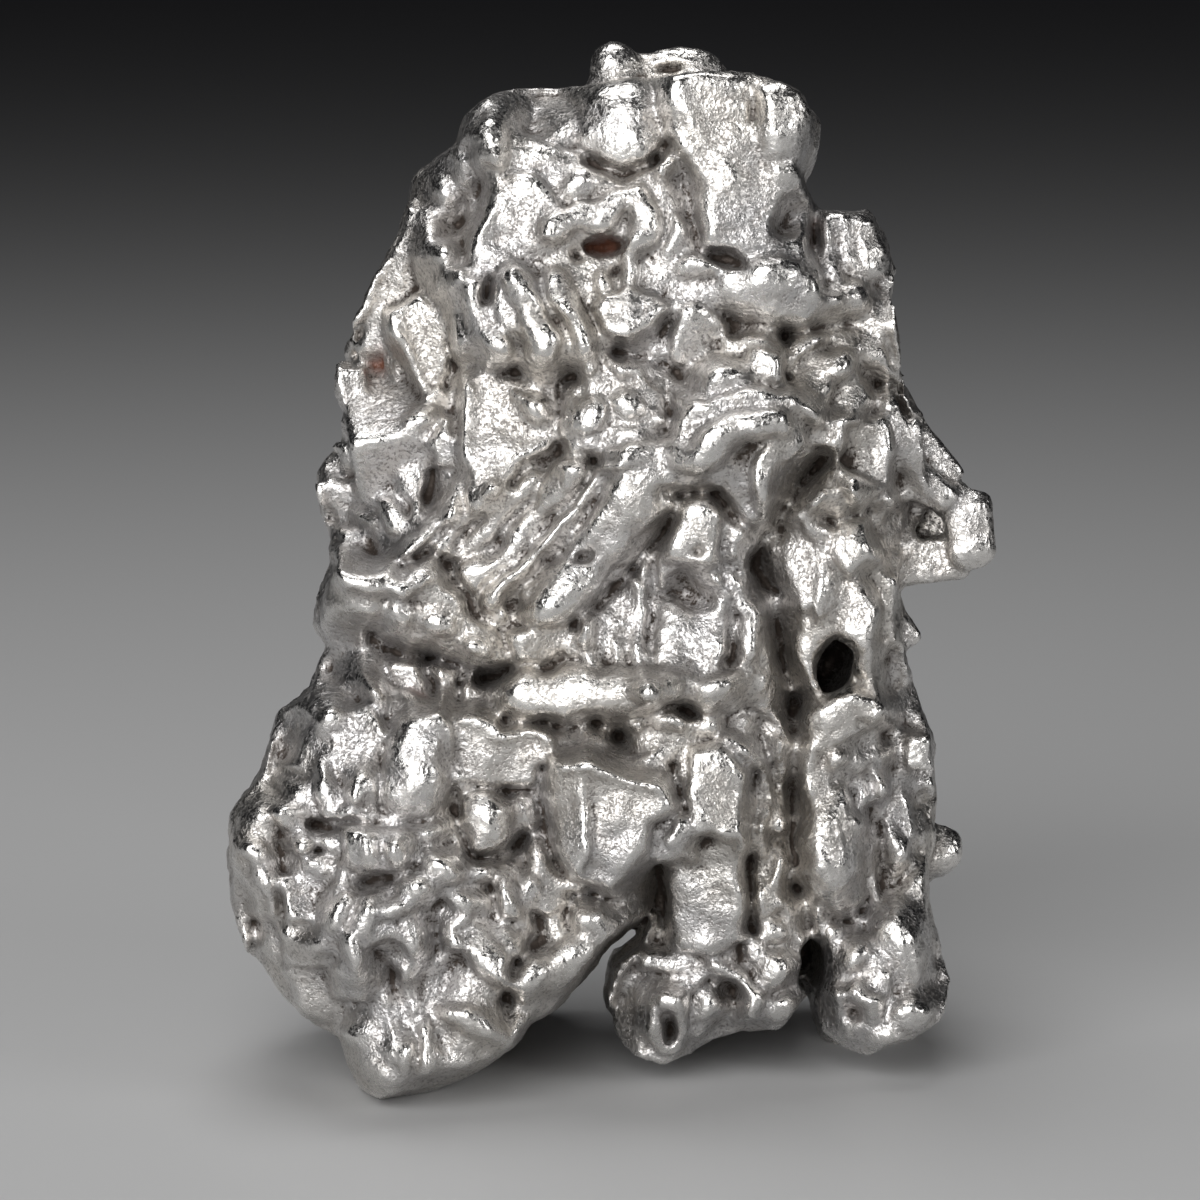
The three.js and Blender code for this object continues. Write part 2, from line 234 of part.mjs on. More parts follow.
// Knobs: across, up, half length, half width, turn in degrees, height over the surface
const KNOBS = [
  // boulder, wing, the two lumps of the left foot, right shield, the lumps of the right foot
  [-8.0,12.8,1.35,2.0,-10,1.1], [-1.7,5.3,2.1,0.95,39,0.8], [-9.2,2.2,1.5,2.3,10,0.7],
  [-5.9,3.4,1.3,2.1,-15,0.7],
  [8.6,10.0,1.25,2.2,5,0.8], [11.4,5.0,1.1,1.6,0,0.6], [10.9,2.3,1.9,1.2,0,0.4],
  [0.3,38.7,1.75,1.85,-60,1.9], [6.6,38.7,1.2,1.6,0,0.6], [-1.9,38.3,1.0,0.45,12,0.5],
  [3.2,32.8,0.8,0.5,-10,0.6],
  [-5.1,38.0,0.8,0.95,0,0.8], [-5.6,39.3,0.65,0.6,0,0.5], [-1.6,36.4,0.9,0.6,20,0.4],
  [1.9,36.9,0.45,0.6,0,0.5], [6.2,32.2,1.4,1.1,10,0.4],
  [-0.6,32.0,0.4,0.6,0,0.4], [2.2,34.0,0.4,0.9,-20,0.4],
  [-6.9,36.6,0.35,0.8,10,0.5], [-7.3,35.3,0.5,0.35,20,0.5], [-6.7,34.4,0.5,0.4,-20,0.5],
  [-7.3,33.6,0.35,0.6,0,0.5], [-6.6,33.2,0.5,0.4,0,0.5],
  [-9.5,32.8,0.35,0.6,-30,0.5], [-8.6,33.5,0.35,0.7,-20,0.5],
  [-11.1,24.8,0.7,0.7,0,0.9], [-10.3,25.4,0.5,0.45,0,0.6], [-11.5,23.2,0.5,0.6,0,0.6],
  [-11.4,18.9,0.7,1.1,0,0.7], [-10.6,19.1,0.5,0.4,0,0.4],
  [-9.9,24.5,0.55,0.35,40,0.5], [-8.0,26.7,0.6,0.5,0,0.4],
  [-10.2,19.4,0.6,0.5,10,0.45], [-8.7,19.1,0.75,0.5,-10,0.5], [-7.1,18.8,0.7,0.6,-30,0.5],
  [-5.6,17.9,0.6,0.5,-30,0.45],
  [-3.3,27.4,0.6,0.55,0,0.4], [-1.2,27.0,0.7,0.8,0,0.4], [0.4,27.4,0.8,0.6,0,0.4],
  [0.2,26.2,0.9,0.5,0,0.3], [4.3,28.3,0.8,0.6,0,0.5],
  [8.4,31.8,0.5,0.45,0,0.6], [9.3,31.8,0.6,0.45,0,0.5], [7.7,32.0,0.4,0.6,0,0.3],
  [8.9,35.5,0.5,0.3,0,0.3], [10.0,35.4,0.5,0.3,0,0.3],
  [-1.3,18.1,0.32,0.8,0,0.8], [-0.9,17.0,0.4,0.45,0,0.6], [0.12,17.4,0.18,0.8,0,0.5],
  [1.0,17.6,0.3,0.6,0,0.4],
  [3.8,16.2,0.8,0.6,0,0.7], [5.4,15.9,0.75,0.6,0,0.7], [6.7,15.7,0.6,0.6,0,0.5],
  [-1.0,14.3,0.5,0.6,0,0.7], [1.4,14.0,0.7,0.5,0,0.5], [-2.0,14.4,0.4,0.4,0,0.4],
  [2.2,14.7,0.7,0.5,0,0.5], [3.6,14.6,0.6,0.6,0,0.5], [5.0,14.5,0.6,0.5,0,0.4],
  [-9.7,16.9,0.6,0.5,0,0.7], [-10.6,16.4,0.5,0.5,0,0.6], [-11.7,14.6,0.6,0.6,0,0.5],
  [-9.6,15.6,0.35,0.7,20,0.5],
  [-11.6,11.9,0.45,0.95,0,0.9], [-12.6,11.9,0.6,0.6,0,0.6], [-10.7,11.4,0.6,0.45,0,0.5],
  [-10.2,12.2,0.4,0.5,0,0.4],
  [-12.6,9.9,0.4,0.45,0,0.5], [-11.7,9.8,0.4,0.45,0,0.6], [-12.2,9.1,0.5,0.3,0,0.5],
  [-8.9,9.5,0.48,0.6,0,0.6], [-10.0,9.6,0.35,0.7,0,0.4],
  [-10.9,7.2,0.9,0.4,60,0.6], [-9.9,6.7,0.35,0.8,-20,0.6], [-9.0,7.1,0.7,0.35,30,0.6],
  [-9.4,5.9,0.6,0.35,-30,0.5], [-10.4,5.6,0.35,0.7,10,0.5], [-8.4,6.4,0.3,0.6,0,0.5],
  [-11.6,5.7,0.6,0.4,0,0.4],
  [-8.2,8.0,0.6,0.4,10,0.5], [-7.2,8.8,0.7,0.6,0,0.5], [-6.6,7.5,0.8,0.4,-20,0.6],
  [-7.4,10.2,0.5,0.5,0,0.5],
  [-5.1,10.7,1.05,1.15,0,1.3], [-3.5,11.0,0.55,0.7,0,0.8], [-3.1,9.2,0.5,0.7,0,0.6],
  [-4.3,7.6,0.4,0.8,10,0.8], [-2.7,7.6,0.7,0.5,0,0.5], [-5.6,8.5,0.6,0.4,30,0.5],
  [-3.4,8.1,0.4,0.5,0,0.5],
  [-5.9,2.9,1.1,0.45,-20,0.5], [-3.5,4.4,0.8,0.9,0,0.5], [-2.6,6.4,0.5,0.9,0,0.5],
  [-1.2,6.6,0.6,0.5,0,0.4], [-9.4,3.4,0.5,0.8,0,0.3], [-8.4,1.2,0.4,0.7,0,0.4],
  [0.5,3.8,0.4,0.6,0,0.5], [6.3,2.9,0.75,0.7,0,0.8], [6.2,4.6,0.65,0.6,0,0.7],
  [3.4,3.0,0.7,0.6,0,0.5], [0.9,2.8,0.35,0.7,0,0.5], [5.5,5.2,0.5,0.5,0,0.5],
  [5.8,7.4,0.35,0.7,0,0.6], [6.6,8.2,0.4,0.9,0,0.5], [6.1,6.1,0.6,0.6,0,0.6],
  [7.0,6.6,0.35,0.8,10,0.5], [2.5,10.2,0.5,0.5,0,0.5],
  [8.9,13.0,0.45,0.4,0,0.6], [9.8,12.8,0.7,0.4,20,0.5], [7.6,13.4,0.45,0.7,0,0.5],
  [11.4,9.3,0.4,0.9,10,0.6], [9.6,5.2,0.6,0.5,0,0.5], [11.8,2.6,0.9,0.7,0,0.6],
  [10.8,1.9,0.7,0.5,0,0.4], [12.5,7.4,0.4,0.9,0,0.4], [8.7,6.0,0.3,0.6,0,0.5],
];

// Ridges: height, radius, run
const RIDGES = [
  [0.4,0.3,[[-5.0,37.4],[-5.15,36.0],[-5.05,35.0],[-5.4,34.0],[-5.5,33.3]]],
  [0.3,0.3,[[-4.6,33.1],[-3.9,31.9],[-3.1,31.3],[-2.0,30.6]]],
  [0.14,0.25,[[2.0,38.6], [2.6,37.6], [3.4,36.2], [3.9,34.6]]], [0.14,0.25,[[2.9,39.0], [3.6,37.8],
  [4.6,36.4], [5.0,35.2]]], [0.2,0.25,[[1.4,36.8], [1.9,35.4], [2.6,34.4]]],
  [0.5,0.3,[[-9.4,33.0],[-10.2,31.5],[-11.0,30.2],[-10.9,29.2],[-10.5,28.0],[-10.3,26.8]]],
  [0.4,0.25,[[-9.1,31.3],[-8.7,30.0],[-7.9,27.9]]],
  [0.4,0.25,[[-6.5,24.3],[-6.8,23.2],[-7.4,22.4],[-8.3,21.3]]],
  [0.35,0.25,[[-6.4,30.3],[-6.6,29.5],[-6.5,28.6],[-6.1,28.1]]],
  [0.35,0.25,[[-6.2,28.0],[-6.3,26.5],[-6.3,25.2]]],
  [0.4,0.3,[[6.3,36.7],[7.2,36.2],[7.8,35.3]]],
  [0.4,0.3,[[6.9,29.0],[8.2,27.6]]], [0.4,0.3,[[8.3,25.4],[9.2,26.0],[10.0,27.0]]],
  [1.0,0.35,[[7.9,23.5],[9.2,23.7],[10.5,23.7],[11.6,23.1]]],
  [0.3,0.25,[[1.1,21.2],[1.4,19.8],[1.1,18.6]]],
  [0.35,0.3,[[-6.0,18.1],[-5.0,17.6],[-4.3,17.0],[-4.2,16.3]]],
  [0.4,0.3,[[-9.9,15.9],[-9.7,14.5],[-9.2,13.5],[-8.4,14.3]]],
  [0.4,0.3,[[-8.6,5.0], [-8.4,3.9], [-8.1,3.1], [-7.6,2.0], [-7.3,0.5]]], [0.3,0.25,[[-9.3,4.4],
  [-9.0,3.0], [-9.1,1.4]]],
  [0.4,0.25,[[-6.1,15.1],[-5.0,14.9],[-4.4,14.5],[-3.8,14.7],[-2.3,14.2]]],
  [0.4,0.25,[[-2.5,13.3],[-1.2,13.3],[0.4,12.6],[1.6,12.1]]],
  [0.4,0.25,[[10.4,14.9], [10.9,12.6], [11.0,10.4]]], [0.35,0.25,[[11.9,14.2], [12.2,11.8],
  [12.0,9.0]]],
  [0.3,0.25,[[8.6,34.6], [9.0,33.2]]], [0.3,0.2,[[9.5,35.0], [9.6,33.0]]], [0.3,0.2,[[10.2,34.8],
  [10.2,33.0]]],
];

// Clefts: depth, half width, run
const CLEFTS = [
  [1.4,0.40,[[-1.0,37.4],[0.0,36.9],[1.2,37.2],[2.0,38.0]]],
  [0.8,0.30,[[-6.5,31.6],[-6.1,30.1],[-4.7,28.9],[-3.8,28.8],[-2.7,28.9],[-1.6,28.5]]],
  [1.0,0.28,[[4.4,30.2],[6.0,30.1],[8.5,30.7]]],
  [1.0,0.30,[[-6.2,37.8], [-5.8,36.5], [-5.7,35.0], [-6.2,33.0], [-7.0,31.8], [-6.8,30.0],
  [-6.5,28.4], [-6.6,26.4]]],
  [1.2,0.45,[[-9.8,30.6],[-9.5,29.0],[-9.1,27.2]]],
  [0.8,0.25,[[-2.4,28.4],[-2.4,27.2],[-2.4,26.0]]],
  [1.0,0.30,[[-4.2,24.2],[-2.5,25.6],[-1.5,25.2],[0.0,25.2]]],
  [1.2,0.28,[[6.5,30.2],[6.7,28.8],[7.3,28.0]]],
  [2.0,0.36,[[-7.7,25.4],[-7.75,24.3],[-7.6,23.6]]],
  [2.6,0.50,[[-10.0,18.4],[-8.4,17.5],[-7.0,17.3],[-6.0,17.0],[-4.8,16.6]]],
  [1.6,0.36,[[-4.3,14.8],[-2.5,14.6],[-0.6,14.8]]], [1.0,0.28,[[-0.6,14.8],[1.0,15.1],[3.0,15.2]]],
  [0.45,0.3,[[1.7,24.0],[1.6,22.4],[1.5,20.9],[1.4,18.0]]],
  [0.45,0.3,[[4.4,23.4],[4.4,21.4],[4.3,19.2],[4.4,17.2]]],
  [1.2,0.28,[[2.0,24.1],[3.7,23.9],[4.4,23.0],[5.2,22.2]]],
  [3.2,0.8,[[8.2,25.1], [7.2,24.3], [6.0,23.0], [5.4,22.2], [6.0,20.4], [6.4,18.8], [6.8,17.2],
  [7.6,15.4]]],
  [1.8,0.55,[[7.6,15.2],[7.2,12.6],[7.0,10.4],[7.1,8.2],[7.6,6.4]]],
  [1.6,0.35,[[2.3,12.8],[2.2,11.4]]], [1.4,0.3,[[2.6,9.2],[1.9,8.6],[1.6,7.0]]],
  [1.3,0.35,[[-2.9,13.0],[-2.8,11.0],[-2.4,9.2],[-1.4,8.2],[-0.2,7.8],[1.0,8.6]]],
  [1.2,0.28,[[-12.4,10.8],[-10.9,10.9],[-9.8,10.8],[-8.5,10.6],[-7.6,10.5],[-6.8,11.2]]],
  [1.2,0.35,[[-6.3,11.8],[-6.4,10.6],[-6.0,9.5],[-5.0,9.2],[-3.8,9.9]]],
  [0.9,0.30,[[-4.2,6.8],[-4.0,5.4],[-4.2,3.8],[-4.3,2.6]]],
  [1.0,0.35,[[5.3,12.4],[5.3,10.4],[5.4,8.0],[5.3,6.0]]],
  [0.8,0.22,[[-7.65,17.0],[-7.65,15.9]]], [0.8,0.22,[[-6.25,17.0],[-6.2,15.8]]],
  [0.7,0.26,[[0.0,24.6],[-1.4,23.0],[-2.8,21.4],[-4.4,19.9]]],
  [0.45,0.3,[[-2.4,24.6], [-3.8,22.9], [-5.4,21.3]]], [0.4,0.25,[[-4.0,24.1], [-5.2,23.0],
  [-6.5,21.9]]],
  [0.9,0.28,[[2.0,22.9],[0.9,21.2],[-0.4,19.6],[-1.6,18.4]]],
  [0.8,0.30,[[10.4,12.2],[10.3,9.6],[10.4,7.4]]], [1.2,0.35,[[7.4,7.6],[8.8,6.6],[10.2,7.0]]],
  [0.4,0.3,[[3.4,33.6],[2.8,35.2],[2.2,36.6]]],
  [1.6,0.45,[[7.9,35.8],[8.1,34.0],[8.6,32.2]]],
];

// Pits: across, up, half length, half width, turn in degrees, depth
const PITS = [
  [-0.6,33.8,0.85,0.5,-10,1.6], [-1.7,33.5,0.35,0.4,0,0.7], [-0.2,32.5,0.4,0.3,0,0.6],
  [4.4,33.3,0.85,0.6,-25,1.5], [1.5,37.3,0.4,0.35,0,0.9],
  [-5.2,31.8,0.25,0.65,-10,1.3], [5.4,39.1,0.2,0.45,-20,0.5], [7.0,34.9,0.8,0.9,0,1.9],
  [-8.4,32.9,0.35,0.35,0,0.6], [-0.1,31.0,0.17,0.17,0,0.35], [1.2,31.0,0.17,0.17,0,0.35],
  [2.9,20.0,1.05,0.75,0,1.0], [0.3,19.6,0.6,1.0,0,0.5], [-1.4,21.3,0.55,0.28,20,0.9],
  [-5.0,16.7,0.8,0.45,0,1.6], [-9.9,8.2,1.0,0.4,0,1.2],
  [-13.4,7.5,0.2,0.85,5,0.9], [1.95,2.2,0.25,0.5,-5,0.5], [4.5,3.6,0.6,0.55,0,1.0],
  [9.8,2.9,0.25,0.5,0,0.6], [9.8,14.6,0.4,0.25,0,0.6], [0.1,14.5,0.4,0.35,0,1.0],
  [-1.6,27.9,0.3,0.3,0,0.5], [3.4,21.6,0.35,0.3,0,0.5], [2.6,34.9,0.3,0.5,20,0.4],
  [-7.0,9.7,0.5,0.5,0,0.9], [-12.4,10.3,0.3,0.25,0,0.6], [-11.6,10.5,0.3,0.2,0,0.6],
  [-12.2,9.5,0.5,0.2,0,0.7],
  [12.2,9.2,0.3,0.5,0,0.8], [8.9,17.0,0.8,1.3,-15,2.0],
];

// Masses in the round: across, up, out, three half sizes, turn in degrees, 0 pebble .. 1 brick
const SOLIDS = [
  // ring and ball on top
  [-0.1,41.6,1.5,1.0,1.0,1.0,0,0], [2.4,42.15,1.5,1.5,0.4,0.6,4,0.3],
  [3.85,41.65,1.4,0.5,0.75,0.65,0,0],
  [1.1,41.6,1.3,0.4,0.55,0.55,0,0], [2.5,41.1,1.3,1.5,0.4,0.75,-3,0.3],
  [2.2,40.3,0.4,2.6,0.7,1.5,0,0.3],
  // arm: leaning slab, its rounded end, the lower slab, the recessed web between
  [12.0,25.9,-0.5,2.2,1.1,1.8,-52,0.85], [12.3,24.8,1.7,1.9,0.5,0.8,-42,0.3],
  [13.8,23.7,1.3,0.75,0.7,0.8,0,0], [14.5,22.5,1.0,0.85,1.5,1.3,6,0.3],
  [12.6,21.2,-0.1,1.75,0.75,1.5,7,0.8], [12.2,23.4,-2.2,1.9,1.8,1.1,0,0.5],
  [11.4,19.0,-0.6,1.4,0.5,1.0,-60,0.6],
  // bead on the right
  [13.0,9.3,-4.4,0.85,0.85,0.85,0,0], [12.0,9.3,-4.4,1.1,0.6,0.7,0,0],
  // feet and the broad back
  [-6.0,4.2,-7.8,2.2,4.0,2.0,0,0], [10.3,2.2,-5.4,1.9,2.6,2.1,0,0], [-8.6,1.8,2.8,2.0,2.5,2.4,0,0],
  [-3.0,30.0,-5.0,6.0,7.0,4.6,0,0], [4.0,17.0,-5.6,6.0,8.0,4.2,0,0],
  [-6.5,10.0,-4.5,5.0,7.5,4.4,0,0], [3.8,32.5,-4.6,4.4,5.0,4.0,0,0],
];

// Hollows in the round: across, up, out, three half sizes, turn in degrees
const CUTS = [
  [8.9,16.9,1.6,0.85,1.6,3.6,-25], [1.8,7.2,5.0,0.4,1.8,3.5,5], [7.9,4.6,-1.0,0.75,1.4,4.0,4],
  [2.3,41.62,2.1,0.65,0.22,1.0,2],
];

const frac = (x) => x - Math.floor(x);
const clamp = (x, lo, hi) => Math.min(Math.max(x, lo), hi);

// A number 0..1 that is always the same for the same place.
const lot = (i, j, k, n) => frac(Math.sin(i * 127.1 + j * 311.7 + k * 74.7 + n * 53.3) * 43758.5453);

// Smooth random swell, -1..1, one unit wide.
function waves(x, y, z, n) {
  const cell = [x, y, z].map(Math.floor);
  const ease = [x, y, z].map((t, a) => {
    const s = t - cell[a];
    return s * s * (3 - 2 * s);
  });
  let sum = 0;
  for (let c = 0; c < 8; c++) {
    const o = [c & 1, (c >> 1) & 1, c >> 2];
    const share = o.reduce((w, bit, a) => w * (bit ? ease[a] : 1 - ease[a]), 1);
    sum += share * lot(cell[0] + o[0], cell[1] + o[1], cell[2] + o[2], n);
  }
  return 2 * sum - 1;
}

// Packed grains with creases between them: the highest of the nearest tilted domes.
function grains(x, y, z, n, lift, round, tilt, flat) {
  const ix = Math.floor(x);
  const iy = Math.floor(y);
  const iz = Math.floor(z);
  const reach = flat ? 0 : 1;
  let best = -9;
  for (let a = ix - 1; a <= ix + 1; a++) {
    for (let b = iy - 1; b <= iy + 1; b++) {
      for (let c = iz - reach; c <= iz + reach; c++) {
        const dx = a + 0.1 + 0.8 * lot(a, b, c, n) - x;
        const dy = b + 0.1 + 0.8 * lot(a, b, c, n + 1) - y;
        const dz = flat ? 0 : c + 0.1 + 0.8 * lot(a, b, c, n + 2) - z;
        const slope = (k) => tilt * (2 * lot(a, b, c, n + k) - 1);
        let top = lift * lot(a, b, c, n + 3) + slope(4) * dx + slope(5) * dy;
        if (!flat) top += slope(6) * dz;
        best = Math.max(best, top - round * (dx * dx + dy * dy + dz * dz));
      }
    }
  }
  return best;
}

// Creased swells of three sizes: dents between sharp crests, lumps between sharp valleys.
function crumple(u, v) {
  const a = u + 0.35 * waves(u / 1.3, v / 1.3, 0, 201);
  const b = v + 0.35 * waves(u / 1.3, v / 1.3, 0, 202);
  const patch = 0.35 + 0.65 * clamp(0.5 + 0.9 * waves(u / 2.7, v / 2.7, 0, 203), 0, 1);
  const calm = patch * (0.45 + 0.2 * clamp((17 - v) / 3, 0, 1));
  const crest = (x, y, n) => Math.abs(waves(a / x, b / y, 0, n));
  return calm * (0.34 * crest(1.25, 1.35, 204) - 0.24 * crest(0.85, 0.9, 205) + 0.15 * crest(0.5, 0.5, 206));
}

// Joins that round the meeting line of two surfaces.
function higher(a, b, soft) {
  const h = clamp(0.5 + (0.5 * (a - b)) / soft, 0, 1);
  return b + (a - b) * h + soft * h * (1 - h);
}
const lower = (a, b, soft) => -higher(-a, -b, soft);

// Distance from a point to the run a..b, and how far along it.
function toRun(u, v, a, b) {
  const eu = b[0] - a[0];
  const ev = b[1] - a[1];
  const t = clamp(((u - a[0]) * eu + (v - a[1]) * ev) / (eu * eu + ev * ev), 0, 1);
  return [Math.hypot(u - a[0] - t * eu, v - a[1] - t * ev), t];
}

// Distance in from a closed outline, negative outside it.
function inset(u, v, points) {
  let near = 1e9;
  let inside = false;
  points.forEach((a, i) => {
    const b = points[(i + 1) % points.length];
    near = Math.min(near, toRun(u, v, a, b)[0]);
    const crosses = a[1] > v !== b[1] > v;
    if (crosses && u < ((b[0] - a[0]) * (v - a[1])) / (b[1] - a[1]) + a[0]) inside = !inside;
  });
  return inside ? near : -near;
}

// Distance to an open run of points, with a level carried along it.
function along(u, v, points, levels) {
  let near = 1e9;
  let level = 0;
  for (let i = 0; i + 1 < points.length; i++) {
    const [d, t] = toRun(u, v, points[i], points[i + 1]);
    if (d < near) {
      near = d;
      if (levels) level = levels[i] + (levels[i + 1] - levels[i]) * t;
    }
  }
  return [near, level];
}

// Distance from the middle of an oval, 1 at its edge.
function oval(du, dv, a, b, turn) {
  const t = (turn * Math.PI) / 180;
  const x = (du * Math.cos(t) + dv * Math.sin(t)) / a;
  const y = (dv * Math.cos(t) - du * Math.sin(t)) / b;
  return Math.hypot(x, y);
}

function middle(u, v) {
  let m = 0;
  for (const [cu, cv, reach, push] of BULGES) {
    m += push * Math.exp(-((u - cu) ** 2 + (v - cv) ** 2) / reach ** 2);
  }
  return m;
}

// The face sheet: depth over a square net, with the places bent a little so no edge is ruled.
const across = Math.round((BOX[3] - BOX[0]) / FINE) + 1;
const upward = Math.round((BOX[4] - BOX[1]) / FINE) + 1;
const sheet = [];
for (let i = 0; i < across; i++) {
  for (let j = 0; j < upward; j++) {
    const u = BOX[0] + i * FINE;
    const v = BOX[1] + j * FINE;
    const deep = inset(u, v, OUTLINE);
    const q = clamp((RIM - deep) / RIM, 0, 1);
    const swell = deep > 0 ? Math.sqrt(1 - q * q) : -1.5 * Math.min(-deep, 1);
    const edge = clamp(deep / 1.5, 0, 1);
    const mid = middle(u, v);
    const face = FACE_GRAIN * grains(u / 2.6, v / 3.4, 0, 3, 0.5, 0.5, 0.6, true) * edge;
    const rear = 1.7 * grains(u / 2.9, v / 3.3, 0, 43, 0.6, 0.5, 0.6, true) * edge;
    sheet.push({
      inset: deep,
      mid,
      front: mid + FRONT * swell + face,
      back: mid - BACK * swell - rear,
      u: u + 0.32 * waves(u / 1.9, v / 1.9, 0, 11) + 0.13 * waves(u / 0.7, v / 0.7, 0, 12),
      v: v + 0.32 * waves(u / 1.9, v / 1.9, 0, 13) + 0.13 * waves(u / 0.7, v / 0.7, 0, 14),
      trueU: u,
      trueV: v,
      sway: waves(u / 1.1, v / 1.1, 0, 15),
      swing: waves(u / 1.5, v / 1.5, 0, 16),
    });
  }
}
const cellOf = (u, v) => {
  const i = clamp(Math.round((u - BOX[0]) / FINE), 0, across - 1);
  const j = clamp(Math.round((v - BOX[1]) / FINE), 0, upward - 1);
  return sheet[i * upward + j];
};

// Every cell of the sheet within pad of the points.
function* around(points, pad) {
  const us = points.map((p) => p[0]);
  const vs = points.map((p) => p[1]);
  const span = (low, high, from, count) => [
    clamp(Math.floor((low - pad - from) / FINE), 0, count - 1),
    clamp(Math.ceil((high + pad - from) / FINE), 0, count - 1),
  ];
  const [i0, i1] = span(Math.min(...us), Math.max(...us), BOX[0], across);
  const [j0, j1] = span(Math.min(...vs), Math.max(...vs), BOX[1], upward);
  for (let i = i0; i <= i1; i++) {
    for (let j = j0; j <= j1; j++) yield sheet[i * upward + j];
  }
}

// A block seen from the front as a polygon, its top a leaning plane, its edges rounded.
// What stood over the plane is pressed down to it.
function plate([stand, leanU, leanV, round, points]) {
  const cu = points.reduce((s, p) => s + p[0], 0) / points.length;
  const cv = points.reduce((s, p) => s + p[1], 0) / points.length;
  const level = cellOf(cu, cv).front + stand;
  for (const c of around(points, 2.2)) {
    const deep = inset(c.u, c.v, points);
    const q = clamp((round - deep) / round, 0, 1);
    const drop = deep < 0 ? round - 4.5 * deep : round - round * Math.sqrt(1 - q * q);
    const top = level + leanU * (c.u - cu) + leanV * (c.v - cv) + 0.12 * c.sway - drop;
    c.front = higher(c.front, top, 0.15);
    c.front += 0.85 * clamp(deep / round, 0, 1) * (top - c.front);
  }
}

// A rounded bar lying along a run of points.
function bar([stand, half, points]) {
  const levels = points.map((p) => cellOf(...p).front + stand);
  for (const c of around(points, half + 1.4)) {
    const [d, level] = along(c.u, c.v, points, levels);
    const q = clamp(d / half, 0, 1);
    const drop = d > half ? half + 4 * (d - half) : half * (1 - Math.sqrt(1 - q ** 2.6));
    c.front = higher(c.front, level - drop, 0.15);
  }
}

// A rounded knob standing a height over the surface, leaning a little its own way.
function knob([u, v, a, b, turn, height]) {
  const least = Math.min(a, b);
  const level = cellOf(u, v).front + KNOB_RISE * height - 0.8 * least;
  const leanU = 0.6 * (lot(u, v, 0, 17) - 0.5);
  const leanV = 0.6 * (lot(u, v, 0, 18) - 0.4);
  for (const c of around([[u, v]], Math.max(a, b) + 1.2)) {
    const q = oval(c.u - u, c.v - v, a, b, turn);
    const cap = 0.8 * least * Math.sqrt(clamp(1 - q * q, 0, 1)) - 3 * least * Math.max(q - 1, 0);
    c.front = higher(c.front, level + cap + leanU * (c.u - u) + leanV * (c.v - v), 0.3);
  }
}

// A ridge like a tent along a run, its reach and height wandering along the way.
function ridge([height, radius, points]) {
  const reach = 1.7 * radius;
  for (const c of around(points, 1.4 * reach)) {
    const q = along(c.u, c.v, points)[0] / (reach * (1 + 0.4 * c.sway));
    c.front += height * (1 + 0.5 * c.swing) * clamp(1 - q, 0, 1);
  }
}

// A cleft with straight sides along a run.
function cleft([depth, width, points]) {
  const half = Math.max(width, 0.4);
  for (const c of around(points, 1.4 * half)) {
    const q = along(c.u, c.v, points)[0] / (half * (0.9 + 0.3 * c.sway));
    c.front -= Math.min(depth, 2.6 * half) * (0.85 + 0.3 * c.swing) * clamp(1.3 - 1.3 * q, 0, 1);
  }
}

function pit([u, v, a, b, turn, depth]) {
  for (const c of around([[u, v]], Math.max(a, b))) {
    const q = oval(c.u - u, c.v - v, a, b, turn);
    c.front -= depth * clamp(1 - q * q, 0, 1) ** 0.8;
  }
}

// A small leaning block, its place spread by two fixed steps, its size and lean by lot.
function chip(i) {
  const u = -15.5 + 28.5 * frac(0.7549 * i + 0.5);
  const v = 0.8 + 40 * frac(0.5698 * i + 0.5);
  const share = [...Array(10).keys()].map((n) => lot(u, v, n, 31));
  const size = 0.5 + 0.9 * share[0] ** 1.5;
  const points = [0, 1, 2, 3, 4].map((n) => {
    const bearing = 1.257 * (n + 0.7 * share[n + 1]) + 6.3 * share[6];
    const reach = size * (0.7 + 0.5 * share[n + 2]);
    return [u + reach * Math.cos(bearing), v + 1.2 * reach * Math.sin(bearing)];
  });
  plate([0.2 + 0.5 * share[7], 1.1 * share[8] - 0.55, 1.1 * share[9] - 0.65, 0.2, points]);
}

DIPS.forEach(pit);
for (const c of sheet) c.front += 0.6 * grains(c.u / 1.25, c.v / 1.5, 0, 21, 0.5, 0.6, 0.6, true);
for (let i = 0; i < FACE_CHIPS; i++) chip(i);
PLATES.forEach(plate);
BARS.forEach(bar);
KNOBS.forEach(knob);
for (const c of sheet) c.front += crumple(c.trueU, c.trueV);
RIDGES.forEach(ridge);
CLEFTS.forEach(cleft);
PITS.forEach(pit);
for (const c of sheet) {
  if (c.inset < 0) c.front = Math.min(c.front, c.mid + FRONT + 12 * c.inset);
}

// The field in three directions: negative inside the metal.
const counts = [0, 1, 2].map((a) => Math.round((BOX[a + 3] - BOX[a]) / CELL[a]) + 1);
const field = new Float64Array(counts[0] * counts[1] * counts[2]);
const at = (i, j, k) => (i * counts[1] + j) * counts[2] + k;
const place = (...cell) => cell.map((c, a) => BOX[a] + c * CELL[a]);

